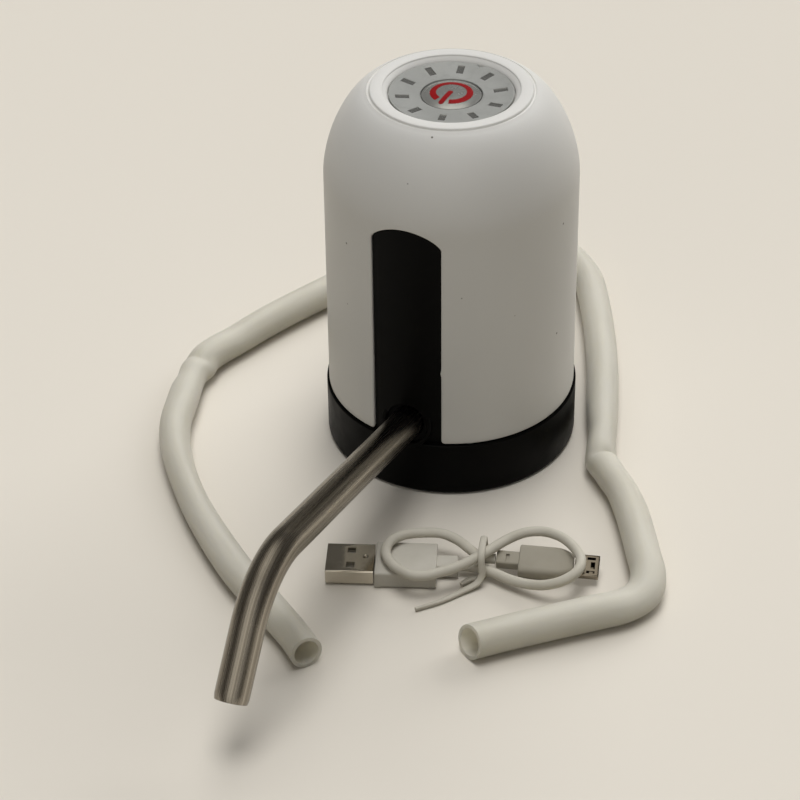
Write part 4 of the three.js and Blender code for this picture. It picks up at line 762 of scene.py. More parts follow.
def shell_radius(z, inset=0.0):
    """The shell's radius at a height: a slight draft up to the shoulder, then the superellipse of the dome."""
    up = (z - shell_foot) / (shell_shoulder - shell_foot)
    draft = shell_foot_radius + (shell_shoulder_radius - shell_foot_radius) * up
    crown = shell_crown - (shell_wall if inset else rim_step)
    lift = np.clip((z - shell_shoulder) / (crown - shell_shoulder), 0, 1) ** (dome_exponent / 2)
    dome = rim_radius + (shell_shoulder_radius - rim_radius) * (1 - lift ** 2) ** (1 / dome_exponent)
    return np.where(z < shell_shoulder, draft, dome) - inset


def dome_rows(first_level, last_share, inset=0.0, steps=30):
    """Radii and heights up the dome from a height, evenly along the superellipse's own turn."""
    crown = shell_crown - (shell_wall if inset else rim_step)
    start = math.asin(((first_level - shell_shoulder) / (crown - shell_shoulder)) ** (dome_exponent / 2))
    turn = np.linspace(start, math.pi / 2 * last_share, steps)
    radius = rim_radius + (shell_shoulder_radius - rim_radius) * np.cos(turn) ** (2 / dome_exponent) - inset
    return np.stack([radius, shell_shoulder + (crown - shell_shoulder) * np.sin(turn) ** (2 / dome_exponent)], -1)


def slot_boundary():
    """The shell's lower boundary as turns from the front and heights, from behind, round by the left and back:
    along the foot, up the slot's side, over its arch, and down again, past a burr that the mould left on the
    right edge. Also where each point fans out to."""
    slot_turn = math.asin(slot_half_width / shell_foot_radius)
    flare_turn = foot_flare / shell_foot_radius
    foot = np.linspace(slot_turn + flare_turn, math.pi, 100)[1:]
    flare = np.linspace(0, math.pi / 2, 6)
    flare_rows = np.stack([slot_turn + flare_turn * (1 - np.sin(flare)),
                           shell_foot + foot_flare * (1 - np.cos(flare))], -1)
    side_heights = np.linspace(shell_foot + foot_flare, arch_top(slot_half_width), 64)[1:-1]
    side = np.stack([np.arcsin(slot_half_width / shell_radius(side_heights)), side_heights], -1)
    across = slot_half_width * np.sin(np.linspace(0, math.pi / 2, 36))[::-1]
    arch = np.stack([np.arcsin(across / shell_radius(arch_top(across))), arch_top(across)], -1)
    right = np.concatenate([arch[::-1], side[::-1], flare_rows[::-1],
                            np.stack([foot, np.full(len(foot), shell_foot)], -1)])
    knots = [0, len(arch) - 1, len(arch) + len(side) + len(flare_rows) - 1, len(right) - 1]
    fan = np.interp(np.arange(len(right)), knots, [0, *fan_turns, math.pi])
    whole = np.concatenate([(right * [-1, 1])[:0:-1], right[:-1]])
    burr = np.exp(-((whole[:, 1] - burr_level) / burr_reach[1]) ** 2) * (whole[:, 0] > 0)
    whole[:, 0] -= burr_reach[0] / shell_foot_radius * burr
    return whole, np.concatenate([-fan[:0:-1], fan[:-1]])


def eased_boundary(boundary, inward, depth):
    """The boundary moved into the shell along its own surface, and sunk below that surface."""
    flat = boundary * [shell_foot_radius, 1]
    along = np.roll(flat, -1, 0) - np.roll(flat, 1, 0)
    wrap = 2 * math.pi * shell_foot_radius
    along[:, 0] -= wrap * np.round(along[:, 0] / wrap)
    normal = unit(np.stack([-along[:, 1], along[:, 0]], -1))
    eased = (flat + normal * inward) / [shell_foot_radius, 1]
    return turned_out(eased[:, 0], shell_radius(eased[:, 1]) - depth, eased[:, 1]), eased


def turned_out(turn, radius, z):
    """Points from turns about the pump's axis, counted from the front towards +X."""
    turn, radius, z = np.broadcast_arrays(turn, radius, z)
    return np.stack([radius * np.sin(turn), axis_y - radius * np.cos(turn), z], -1)


def shell_surface():
    """Inside and outside in one closed grid. Each column starts on the lower boundary, fans out to an even
    place on the dome, runs up over the rim and the well, and comes back down inside."""
    boundary, fan = slot_boundary()
    ease = np.radians([0, 22, 45, 68, 90])
    eased = [eased_boundary(boundary, edge_round * (1 - math.cos(a)), edge_round * (1 - math.sin(a)))
             for a in ease]
    field = eased[-1][1]
    share = np.linspace(0, 1, 50)[1:, None]
    turns = field[:, 0] + (fan - field[:, 0]) * share
    levels = field[:, 1] + (fan_level - field[:, 1]) * share
    rows = [place for place, _ in eased] + list(turned_out(turns, shell_radius(levels), levels))
    dome = dome_rows(fan_level, 0.985)
    lip = shell_crown - rim_step
    groove = [(rim_radius + groove_width, lip - 0.03 * MM),
              *[(rim_radius + groove_width * out, lip - groove_depth * sunk) for out, sunk in groove_shape],
              (rim_radius, lip + 0.02 * MM)]
    bend = np.radians([0, 30, 60, 90])
    curve = rim_round * (1 - np.stack([np.cos(bend), np.sin(bend)]))
    rim_outside = np.stack([rim_radius - curve[0], shell_crown - curve[1]], -1)
    rim_inside = np.stack([rim_inner_radius + curve[1], shell_crown - curve[0]], -1)
    well = [(well_radius + (rim_inner_radius - well_radius) * (1 - share) ** 1.5,
             shell_crown - rim_round - (well_drop - rim_round) * share) for share in np.linspace(0.2, 1, 5)]
    inner_dome = dome_rows(fan_level, 1, shell_wall)[::-1]
    dome = dome[dome[:, 0] > rim_radius + groove_width * 1.1][1:]
    ledge = [(well_radius, well_floor), (ledge_radius, well_floor), (ledge_radius, ledge_underside),
             (well_radius + shell_wall, ledge_underside)]
    profile = np.array([*dome, *groove, *rim_outside, *rim_inside, *well, *ledge, *inner_dome])
    rows += [turned_out(fan, radius, z) for radius, z in profile]
    slot_turn = math.asin(slot_half_width / shell_foot_radius)
    inner_radius = shell_radius(boundary[:, 1], shell_wall)
    inner_slot = np.arcsin(np.clip(shell_radius(boundary[:, 1]) * np.sin(boundary[:, 0]) / inner_radius, -1, 1))
    inner_start = math.asin(slot_half_width / (shell_foot_radius - shell_wall))
    beyond = inner_start + (np.abs(boundary[:, 0]) - slot_turn) * (math.pi - inner_start) / (math.pi - slot_turn)
    inner_turn = np.where(np.abs(boundary[:, 0]) > slot_turn, np.sign(boundary[:, 0]) * beyond, inner_slot)
    inner_share = np.linspace(1, 0, 20)[1:, None]
    turns = inner_turn + (fan - inner_turn) * inner_share
    levels = boundary[:, 1] + (fan_level - boundary[:, 1]) * inner_share
    rows += list(turned_out(turns, shell_radius(levels, shell_wall), levels))
    return surface("shell_moulding", np.array(rows), loop_rows=True)


def across_back(name, size, reach, rounding):
    """A cutter through the shell's back at the charging socket, with round corners, between two depths."""
    grid = lofted([(reach[0], 0, 0), (reach[1], 0, 0)], (0, *size), rounding) + [0, 0, port_level]
    return surface(name, np.stack([-grid[..., 1], axis_y + grid[..., 0], grid[..., 2]], -1), caps=True)


def revolved(name, profile, sides, middle=(0, 0), loop=True, tilt=None, sharp=40):
    """A profile of radii and heights turned about an upright axis, or about a tilted one through a point."""
    turn = all_round(sides)
    radius, z = np.array(profile, float).T[..., None]
    grid = np.stack(np.broadcast_arrays(radius * np.cos(turn), radius * np.sin(turn), z), -1)
    if tilt is not None:
        grid = grid @ np.array(tilt[0]).T + tilt[1]
    else:
        grid = grid + [middle[0], middle[1] + axis_y, 0]
    return surface(name, grid, loop_rows=loop, caps=not loop, sharp=sharp)


def on_circle(radius, degrees):
    """The X and Y of a place on a circle round the origin."""
    return turned(radius, 0, math.radians(degrees))


def bushing(name, radii, levels, sides, middle):
    """A plain round tube that stands upright, from its bore and outer radius and its two levels."""
    (bore, outer), (low, high) = radii, levels
    return revolved(name, [(bore, low), (outer, low), (outer, high), (bore, high)], sides, middle)


shell = shell_surface()
inner_back = shell_foot_radius - shell_wall
hole_reach = (inner_back - 2 * MM, inner_back + 2 * shell_wall)
recess_reach = (shell_foot_radius - port_recess_depth, shell_foot_radius + shell_wall)
cut(shell, across_back("port_hole", port_hole, hole_reach, port_corners[0]),
    across_back("port_recess", port_recess, recess_reach, port_corners[1]))
posts = [bushing(f"post_{turn}", post_radii, post_levels, 32, on_circle(post_circle, turn))
         for turn in post_turns]
shell_finish = Finish("white_abs", shell_white, 0.42, Subsurface_Weight=0.06,
                      Subsurface_Radius=(0.002, 0.0018, 0.0015))
shell_finish.clouds(shell_grey, (14, 14, 9), 0.4, 0.7, 0.5, detail=3)
shell_finish.tint(speck_brown, shell_finish.specks(260, 0.1, 0.06)).uneven(45, 0.38, 0.5).grain(2200, 0.012 * MM)
dressed(joined("shell_moulding", shell, *posts), "shell_plastic", shell_finish, "outer_shell")

# Base: one black ABS moulding, satin, that carries everything. It has the foot ring, the socket for the
# bottle's neck with ribs round it, the deck with its screw holes, and a spigot that the shell sits over.
base_radius = 36.25 * MM
base_height = 17.1 * MM
base_wall = 2.2 * MM
base_foot_round = 1.4 * MM
base_top_round = 0.4 * MM
socket_radius = 28.2 * MM
socket_wall = 2 * MM
lead_in = 0.8 * MM
seat_edge = 0.02 * MM
deck_underside = 10.8 * MM
deck_top = 12.8 * MM
nipple_hole = 3.9 * MM
spigot_radius = 33.12 * MM
spigot_wall = 1.5 * MM
spigot_height = 3 * MM
rib_count = 12
rib_thickness = 1.2 * MM
rib_recess = 1.5 * MM
screw_turns = {"shell": (60, 180, 300), "chassis": (100, 215, 320)}
screw_circles = {"shell": 32.125 * MM, "chassis": 19.5 * MM}
screw_hole = 1.5 * MM
screw_seat = 2.05 * MM
post_room = 3 * MM
cell_place = (19.5 * MM, 8 * MM)
cell_collar = (9.5 * MM, 10.7 * MM, 15.8 * MM)
board_posts = ((-5.5 * MM, 26.92 * MM), (5.5 * MM, 26.92 * MM))
board_post_radii = (1.8 * MM, 0.8 * MM)
board_post_levels = (27.7 * MM, 29.9 * MM)
base_sides = 192
root_depth = 0.4 * MM
rib_overlap = 0.6 * MM
rib_rounds = (0.15 * MM, 0.3 * MM)
black = (0.0014, 0.0014, 0.0013)
black_worn = (0.004, 0.0039, 0.0036)


def quarter(radius, z, rounding, signs, count=6):
    """Points of a round corner: its outermost radius and height, and which way it bulges."""
    turn = np.linspace(0, math.pi / 2, count)
    return [(radius - signs[0] * rounding * (1 - math.sin(a)), z - signs[1] * rounding * (1 - math.cos(a)))
            for a in turn]


base_profile = [
    (nipple_hole, deck_underside), (socket_radius, deck_underside), (socket_radius, lead_in),
    (socket_radius + lead_in, 0), (socket_radius + socket_wall, 0), (socket_radius + socket_wall, deck_underside),
    (base_radius - base_wall, deck_underside), (base_radius - base_wall, 0),
    *quarter(base_radius, 0, base_foot_round, (1, -1)),
    *quarter(base_radius, base_height, base_top_round, (1, 1))[::-1],
    (spigot_radius, base_height), (spigot_radius, base_height + spigot_height),
    (spigot_radius - spigot_wall, base_height + spigot_height), (spigot_radius - spigot_wall, deck_top),
    (nipple_hole, deck_top),
]
base_ring = revolved("base_moulding", base_profile, base_sides)
hole_top = base_height + 2 * spigot_height
screw_holes = {
    "shell": [(screw_seat, 0), (screw_seat, deck_underside - seat_edge), (screw_hole, deck_underside),
              (screw_hole, deck_top), (post_room, deck_top + seat_edge), (post_room, hole_top)],
    "chassis": [(screw_hole, 0), (screw_hole, deck_underside), (screw_hole, base_height)]}
cut(base_ring, *[revolved("hole", screw_holes[kind], 32, on_circle(screw_circles[kind], turn), loop=False)
                 for kind, turns in screw_turns.items() for turn in turns])


def rib(turn):
    """One thin rib between the socket and the foot ring, a little short of the floor."""
    inner, outer = socket_radius + socket_wall, base_radius - base_wall
    size = (outer - inner + rib_overlap, rib_thickness, deck_underside - rib_recess + root_depth)
    grid = eased_block((inner + outer) / 2, size, *rib_rounds) + [0, 0, rib_recess + size[2] / 2]
    x, y = turned(grid[..., 0], grid[..., 1], turn)
    return surface("rib", np.stack([x, y + axis_y, grid[..., 2]], -1), caps=True)


def standing(name, radius, low, high, place, sides=32):
    """A plain round post with a softened top."""
    soft = radius * 0.15
    return revolved(name, [(radius, low), (radius, high - soft), (radius - soft, high)], sides, place, loop=False)


rooted = deck_top - root_depth
post_top, pin_top = board_post_levels
base_extras = [rib(math.pi / rib_count + i * 2 * math.pi / rib_count) for i in range(rib_count)]
base_extras.append(bushing("collar", cell_collar[:2], (rooted, cell_collar[2]), 64, cell_place))
for place in board_posts:
    base_extras += [standing("post", board_post_radii[0], rooted, post_top, place),
                    standing("pin", board_post_radii[1], post_top - root_depth, pin_top, place, 16)]
black_finish = Finish("black_abs", black, 0.42, Specular_IOR_Level=0.06)
black_finish.clouds(black_worn, 60, 0.55, 0.85, 0.5, detail=5).uneven(160, 0.34, 0.5).grain(1800, 0.014 * MM)
dressed(joined("base_moulding", base_ring, *base_extras), "black_plastic", black_finish, "base_body")

# Front strip: a flat arched tongue of the base moulding that stands in the shell's slot, a little sunk.
# At its foot a round boss with a dish in it, square to the spout, lets the tube through.
strip_radius = 34.78 * MM
strip_thickness = 2.5 * MM
strip_gap = 0.3 * MM
strip_round = 0.25 * MM
strip_foot = 12.4 * MM
boss_radius = 7.5 * MM
boss_rim = 1.3 * MM
boss_dish = 1.1 * MM
spout_rise = math.radians(12.7)
root_height = 22.6 * MM
tube_hole = 4.8 * MM
tube_reach = 9 * MM
socket_room = 7.3 * MM
strip_columns = 61
face_rows = 24


def strip_surface():
    """Upright loops across the strip, from its left edge to its right: up its curved face, over the arch and
    down its back. The loops near both edges are thinner, so that the edges are round."""
    half = slot_half_width - strip_gap
    turn = np.linspace(-math.pi / 2, math.pi / 2, strip_columns)
    x = half * np.sin(turn)
    edge = np.clip((np.abs(x) - (half - strip_round)) / strip_round, 0, 1)
    sunk = strip_round * (1 - np.sqrt(1 - edge ** 2))
    top = arch_top(x, strip_gap)
    bend = np.linspace(0, math.pi / 2, 5)
    face_levels = strip_foot + (top[:, None] - strip_round - strip_foot) * np.linspace(0, 1, face_rows)
    over = top[:, None] - strip_round * (1 - np.sin(bend))
    z = np.concatenate([face_levels, over[:, 1:], top[:, None], np.full((strip_columns, 1), strip_foot)], 1)
    depth = np.zeros(z.shape)
    depth[:, face_rows:-2] = strip_round * (1 - np.cos(bend[1:]))
    depth[:, -2:] = strip_thickness
    depth[:, :-2] += sunk[:, None]
    y = axis_y - np.sqrt((strip_radius - depth) ** 2 - x[:, None] ** 2)
    return surface("front_strip", np.stack([np.broadcast_to(x[:, None], z.shape), y, z], -1)[:, ::-1], caps=True)


def root_frame():
    """The turn and the place of the spout's root: its axis rises forward out of the strip."""
    forward = np.array([0, -math.cos(spout_rise), math.sin(spout_rise)])
    side = np.array([1.0, 0, 0])
    upward = np.cross(forward, side)
    return np.stack([side, upward, forward], -1), np.array([0, axis_y - strip_radius, root_height])


def room(radius, low, high, sides=48):
    """A round cutter along the root's axis."""
    return revolved("room", [(radius, low), (radius, high)], sides, loop=False, tilt=root)


root = root_frame()
strip = strip_surface()
boss_root = -strip_thickness - 0.4 * MM
boss_bore = boss_radius - boss_rim
boss = revolved("boss", [
    (0.01 * MM, boss_root), (boss_radius, boss_root), (boss_radius, -0.35 * MM),
    (boss_radius - 0.1 * MM, -0.12 * MM), (boss_radius - 0.35 * MM, 0), (boss_bore + 0.25 * MM, 0),
    (boss_bore, -0.2 * MM), (boss_bore - 0.15 * MM, -boss_dish), (0.01 * MM, -boss_dish)],
    96, loop=False, tilt=root)
cut(strip, room(boss_bore - 0.1 * MM, -boss_dish * 0.98, 4 * MM, 96), room(tube_hole, -tube_reach, tube_reach),
    room(socket_room, -10 * MM, -strip_thickness - 0.3 * MM))
cut(boss, room(tube_hole, -tube_reach, tube_reach))
dressed(joined("front_strip", strip, boss), "black_plastic", black_finish)

# Spout: a bent tube of stainless steel, polished lengthwise, with a square-cut end. It turns in the socket
# behind the boss, where a ring seals it.
spout_radius = 4.5 * MM
spout_wall = 0.55 * MM
spout_lip = 0.25 * MM
spout_insert = 9.4 * MM
spout_straight = 81.9 * MM
bend_radius = 24 * MM
bend_turn = math.radians(64.7)
spout_tip = 19 * MM
spout_sides = 72
steel = (0.27, 0.242, 0.20)
steel_pale = (0.46, 0.425, 0.365)
steel_dark = (0.085, 0.074, 0.06)


def spout_line():
    """Places along the tube's middle: straight out and up, round the bend, and down to the tip."""
    straight = np.linspace(-spout_insert, spout_straight, 60)
    turn = np.linspace(0, bend_turn, 44)[1:]
    tip = np.linspace(0, spout_tip, 16)[1:]
    start_out, start_rise = spout_straight * math.cos(spout_rise), spout_straight * math.sin(spout_rise)
    out = np.concatenate([straight * math.cos(spout_rise),
                          start_out + bend_radius * (np.sin(turn - spout_rise) + math.sin(spout_rise))])
    rise = np.concatenate([straight * math.sin(spout_rise),
                           start_rise + bend_radius * (np.cos(turn - spout_rise) - math.cos(spout_rise))])
    fall = bend_turn - spout_rise
    out = np.concatenate([out, out[-1] + tip * math.cos(fall)])
    rise = np.concatenate([rise, rise[-1] - tip * math.sin(fall)])
    return np.stack([np.zeros(len(out)), axis_y - strip_radius - out, root_height + rise], -1)


def spout_surface():
    """Outside and bore in one closed grid, with softened lips at both ends."""
    line = spout_line()
    outside, lips, bore = (swept(line, radius, radius, spout_sides)
                           for radius in (spout_radius, spout_radius - spout_lip, spout_radius - spout_wall))
    outside[[0, -1]] = lips[[0, -1]]
    return pipe("spout", outside, bore, lay_of(run_along(line), spout_sides))


steel_finish = Finish("brushed_steel", steel, 0.28, 1.0, on="lay")
steel_finish.clouds(steel_pale, (7, 7, 3), 0.48, 0.72, 0.85, detail=5)
steel_finish.clouds(steel_dark, (11, 11, 5), 0.55, 0.75, 0.8, detail=5)
steel_finish.uneven((26, 26, 9), 0.18, 0.32).grain((34, 34, 6), 0.05 * MM, detail=4)
dressed(spout_surface(), "spout_steel", steel_finish, "spout_tube", body="spout")

# Bezel: a disc of silver-lacquered plastic, let into the shell's well and dished towards the button, with ten
# bright ticks sunk in it and a small notch in its edge.
bezel_radius = 17.1 * MM
bezel_top = 110 * MM
bezel_thickness = 1.2 * MM
bezel_dish = 0.75 * MM
bezel_edges = (0.15 * MM, 0.2 * MM, 0.04 * MM)
button_radius = 8.2 * MM
button_gap = 0.3 * MM
tick_count = 10
tick_radii = (11.6 * MM, 15.3 * MM)
tick_half_width = 0.9 * MM
tick_depth = 0.25 * MM
tick_slope = 0.09 * MM
first_tick = 10.5
notch_turn = 172.5
notch_radius = 0.9 * MM
notch_slope = 0.25 * MM
notch_depth = 0.7 * bezel_thickness
silver = (0.42, 0.425, 0.405)
silver_pale = (0.52, 0.525, 0.50)
silver_dull = (0.32, 0.325, 0.31)
tick_bright = (0.36, 0.36, 0.345)


def bezel_surface():
    """Rings from the bore out to the edge and under it. The columns keep to the ticks' straight sides, so each
    tick is cut clean; the notch is a dent in the edge of the outer rings. Each point stores how sunk it is."""
    steps = tick_half_width * np.array([-1, -1, -0.5, 0, 0.5, 1, 1])
    steps[[0, -1]] += [-tick_slope, tick_slope]
    sector = math.pi / tick_count
    spread = np.linspace(0, 1, 9)[1:-1]
    inner, outer = tick_radii
    bore = button_radius + button_gap
    radii = np.concatenate([
        [bore, bore, bore + 0.15 * MM],
        np.linspace(button_radius + 0.7 * MM, inner - 0.3 * MM, 6), [inner - tick_slope, inner],
        np.linspace(inner, outer, 8)[1:-1], [outer, outer + tick_slope],
        np.linspace(outer + 0.3 * MM, bezel_radius - 0.3 * MM, 6),
        [bezel_radius - 0.12 * MM, bezel_radius, bezel_radius]])
    drop = np.zeros(len(radii))
    drop[[0, -1]] = bezel_thickness
    drop[[1, -2, -3]] = bezel_edges
    drop[1:-1] += bezel_dish * (1 - ((radii[1:-1] - button_radius) / (bezel_radius - button_radius)) ** 2)
    local = steps[None, :] / radii[:, None]
    left = -sector + (local[:, :1] + sector) * spread
    right = local[:, -1:] + (sector - local[:, -1:]) * spread
    columns = np.concatenate([np.full((len(radii), 1), -sector), left, local, right], 1)
    middle_share = np.concatenate([np.zeros(9), np.ones(5), np.zeros(8)])
    inside = ((radii > inner - tick_slope / 2) & (radii < outer + tick_slope / 2))[:, None]
    turns = np.concatenate([columns + i * 2 * sector for i in range(tick_count)], 1) + math.radians(first_tick)
    sunk = np.tile(middle_share, tick_count) * inside
    depth = drop[:, None] + tick_depth * sunk
    notch = bezel_radius * math.sin(math.radians(notch_turn)), bezel_radius * math.cos(math.radians(notch_turn))
    away = np.hypot(radii[:, None] * np.sin(turns) - notch[0], radii[:, None] * np.cos(turns) - notch[1])
    depth = np.maximum(depth, notch_depth * np.clip((notch_radius - away) / notch_slope, 0, 1))
    grid = turned_out(turns, radii[:, None], bezel_top - depth)
    return surface("bezel_disc", grid[::-1], loop_rows=True, lay=(sunk[..., None] * [1, 0, 0])[::-1], sharp=25)


silver_finish = Finish("silver_lacquer", silver, 0.5, 0.35).clouds(silver_pale, 70, 0.45, 0.75, 0.7, detail=5)
silver_finish.clouds(silver_dull, 420, 0.55, 0.8, 0.5)
in_tick = silver_finish.first_stored()
silver_finish.tint(tick_bright, silver_finish.band(in_tick, 0.3, 0.9))
wander = silver_finish.band(silver_finish.noise(260, 4), 0.3, 0.7, 0.42, 0.6)
for setting, value in {"Roughness": silver_finish.times(wander, silver_finish.band(in_tick, 0.3, 0.9, 1, 0.3)),
                       "Metallic": silver_finish.band(in_tick, 0.3, 0.9, 0.35, 0.75)}.items():
    silver_finish.tree.links.new(value, silver_finish.shader.inputs[setting])
silver_finish.grain(1400, 0.01 * MM)
dressed(bezel_surface(), "bezel_silver", silver_finish, "button_bezel")

# Button: a low silver dome with a bright bevel round it, that is pressed down on the switch.
# The red power mark on it is printed, so it has hardly any thickness.
button_crown = 1.1 * MM
button_drop = 0.95 * MM
bevel_start = 0.86
flange_radius = 9.5 * MM
flange_top = 108.5 * MM
flange_thickness = 1 * MM
stem_radius = 2.4 * MM
stem_foot = 105.35 * MM
mark_radii = (4.2 * MM, 5.9 * MM)
mark_gap = 20.0
mark_bar_half = 0.72 * MM
mark_bar_reach = (-0.1 * MM, 6.6 * MM)
mark_turn = -7.5
mark_thickness = 0.05 * MM
print_red = (0.27, 0.006, 0.008)
print_dark = (0.17, 0.005, 0.006)


def crown_height(radius):
    """The button's domed top, with a bevel that falls away near its edge."""
    share = np.clip(radius / button_radius, 0, 1)
    bevel = np.clip((share - bevel_start) / (1 - bevel_start), 0, 1) ** 2
    return bezel_top - button_drop + button_crown * (1 - share ** 2) * (1 - bevel)


button_rows = button_radius * np.linspace(1, 0.004, 40)
crown = np.stack([button_rows, crown_height(button_rows)], -1)
crown[0, 0] -= 0.05 * MM
button = revolved("button_dome", [
    (0.01 * MM, stem_foot), (stem_radius, stem_foot), (stem_radius, flange_top - flange_thickness),
    (flange_radius, flange_top - flange_thickness), (flange_radius, flange_top), (button_radius, flange_top),
    (button_radius, bezel_top - button_drop - 0.12 * MM), *crown], 128, loop=False)
button_finish = Finish("bright_lacquer", silver_pale, 0.22, 0.7).clouds(silver_dull, 140, 0.5, 0.8, 0.6, detail=5)
button_finish.uneven(300, 0.14, 0.3).grain(900, 0.008 * MM)
dressed(button, "button_silver", button_finish, "button_cap", body="button")


def printed(name, across, along):
    """A patch of ink on the button's dome, from a grid of places in the mark's own directions: its top follows
    the dome, and a skirt goes down into it all round."""
    x, y = turned(across, -along, math.radians(mark_turn))
    lift = crown_height(np.hypot(x, y))
    top, under = (np.stack([x, y + axis_y, lift + shift], -1) for shift in (mark_thickness, -mark_thickness))
    return surface(name, np.concatenate([top, under[:, ::-1]], 1), caps=True)


gap = math.radians(mark_gap)
ring_turn = np.linspace(gap, 2 * math.pi - gap, 90)[:, None]
ring_radius = np.linspace(*mark_radii, 6)
bar_along = np.linspace(*mark_bar_reach, 40)[:, None]
bar_end = np.minimum(bar_along - mark_bar_reach[0], mark_bar_reach[1] - bar_along) / mark_bar_half
bar_across = np.linspace(mark_bar_half, -mark_bar_half, 5) * np.sqrt(1 - np.clip(0.97 - bar_end, 0, 1) ** 2)
mark = joined("power_mark",
              printed("ring", ring_radius * np.sin(ring_turn), ring_radius * np.cos(ring_turn)),
              printed("bar", bar_across, bar_along * np.ones_like(bar_across)))
print_finish = Finish("red_print", print_red, 0.45, Specular_IOR_Level=0.25)
print_finish.clouds(print_dark, 500, 0.45, 0.75, 0.7).grain(2400, 0.004 * MM)
dressed(mark, "button_silver", print_finish, body="button")

# Underside: a soft grey sealing ring under the deck, which the bottle's neck meets, and the black nipple
# that the suction hose is pushed on, with three barbs below its flange.
seal_radii = (23.2 * MM, 27.9 * MM)
seal_levels = (8.9 * MM, 10.5 * MM)
seal_bead = 0.35 * MM
seal_beads = 3
nipple_bore = 1.8 * MM
nipple_stem = 3.3 * MM
nipple_barb = 4.05 * MM
nipple_pitch = 2.4 * MM
nipple_foot = 1 * MM
nipple_flange = 6.8 * MM
nipple_stub = 2.6 * MM
nipple_top = 19.3 * MM
seal_grey = (0.23, 0.235, 0.225)
seal_pale = (0.32, 0.325, 0.31)

bead_run = np.linspace(seal_radii[0] + 0.3 * MM, seal_radii[1] - 0.6 * MM, 25)
bead_lift = seal_bead * (0.5 - 0.5 * np.cos(np.linspace(0, seal_beads * 2 * math.pi, 25)))
seal = revolved("neck_seal", [
    (seal_radii[0], seal_levels[1]), (seal_radii[0], seal_levels[0] + 0.3 * MM),
    *zip(bead_run, seal_levels[0] + seal_bead - bead_lift),
    (seal_radii[1] - 0.2 * MM, seal_levels[0] + 0.4 * MM), (seal_radii[1], seal_levels[0] + 0.8 * MM),
    (seal_radii[1], seal_levels[1])], 128)
rubber_finish = Finish("grey_rubber", seal_grey, 0.7).clouds(seal_pale, 180, 0.45, 0.75, 0.6)
rubber_finish.uneven(320, 0.6, 0.8, detail=3).grain(1600, 0.02 * MM)
dressed(seal, "rubber_grey", rubber_finish, "neck_gasket")


def barbs():
    """The nipple's outline from its foot up: three saw teeth, the flange, the waist in the deck, the stub."""
    outline = [(nipple_bore + 0.2 * MM, nipple_foot)]
    tooth = [(nipple_stem - 0.3 * MM, 0), (nipple_barb - 0.08 * MM, 0.62), (nipple_barb, 0.67),
             (nipple_barb - 0.05 * MM, 0.7), (nipple_stem, 0.71)]
    for level in nipple_foot + nipple_pitch * np.arange(3):
        outline += [(radius, level + nipple_pitch * share) for radius, share in tooth]
    flange, under = deck_underside - plug_gap, seal_levels[0]
    return outline + [
        (nipple_stem, under - 0.3 * MM), (nipple_stem + 0.3 * MM, under), (nipple_flange - 0.15 * MM, under),
        (nipple_flange, under + 0.15 * MM), (nipple_flange, flange), (nipple_stem + plug_gap, flange),
        (nipple_stem + plug_gap, deck_top), (nipple_stub, deck_top), (nipple_stub, nipple_top - nipple_foot),
        (nipple_stub - plug_gap, nipple_top), (nipple_bore, nipple_top), (nipple_bore, nipple_foot + 0.2 * MM)]


dressed(revolved("nipple", barbs(), 64), "black_plastic", black_finish, "suction_nipple")

# Screws of the underside: six plated pan heads with cross recesses. Three in the ring between socket and foot
# hold the shell, and three inside the neck socket hold the chassis.
head_top = deck_underside - plug_gap
head_height = 1.4 * MM
head_radii = {"shell": 1.75 * MM, "chassis": 2.3 * MM}
screw_lengths = {"shell": 12 * MM, "chassis": 13 * MM}
thread_radii = (0.95 * MM, 1.2 * MM)
thread_pitch = 0.7 * MM
recess_width = 0.5 * MM
recess_depth = 0.8 * MM
screw_plate = (0.42, 0.42, 0.43)
screw_dark = (0.20, 0.19, 0.18)


def pan_screw(name, head_radius, length, place):
    """A screw that hangs head down: a domed head with a cross cut in it, and a threaded shank above."""
    dome = [(head_radius * math.sin(a), head_top - head_height * (0.35 + 0.65 * math.cos(a)))
            for a in np.linspace(0.02, math.pi / 2, 9)]
    turns = np.arange(head_top + 0.4 * MM, head_top + length - 1.2 * MM, thread_pitch / 2)
    thread = [(thread_radii[i % 2], level) for i, level in enumerate(turns)]
    piece = revolved(name, [*dome, (head_radius, head_top), (thread_radii[1], head_top), *thread,
                            (0.05 * MM, head_top + length)], 40, place, loop=False)
    low = head_top - head_height
    arms = [slab("arm", np.array([*size, recess_depth * 2]), (0, 0, 0),
                 (place[0] / MM, place[1] / MM, 0, low / MM, 0), 0.05 * MM)
            for size in ((head_radius * 1.15, recess_width), (recess_width, head_radius * 1.15))]
    return cut(piece, *arms)


screw_finish = Finish("screw_plating", screw_plate, 0.32, 1.0).clouds(screw_dark, 700, 0.5, 0.75, 0.7)
screw_finish.uneven(900, 0.24, 0.45, detail=3)
for kind, turns in screw_turns.items():
    for i, turn in enumerate(turns):
        place = on_circle(screw_circles[kind], turn)
        screw = pan_screw(f"{kind}_pan_{i + 1}", head_radii[kind], screw_lengths[kind], place)
        dressed(screw, "screw_steel", screw_finish, f"{kind}_screw_{i + 1}")

# Charging socket: a small nickel-plated sheet-metal socket on its board, seen through the hole in the back.
socket_size = np.array([5.2, 7.6, 2.7]) * MM
socket_place = (0, 32.6, -90, 31.25, 0)
socket_tongue = np.array([3.6, 5.4, 0.7]) * MM
tongue_behind = 0.5 * MM
tongue_rise = 0.3 * MM

socket = joined("charging_socket", plug_sleeve("socket", socket_size, socket_place, sheet_metal),
                slab("tongue", socket_tongue,
                     (socket_size[0] - socket_tongue[0] / 2 - tongue_behind, 0, tongue_rise), socket_place))
dressed(socket, "nickel", nickel_finish, "usb_socket")

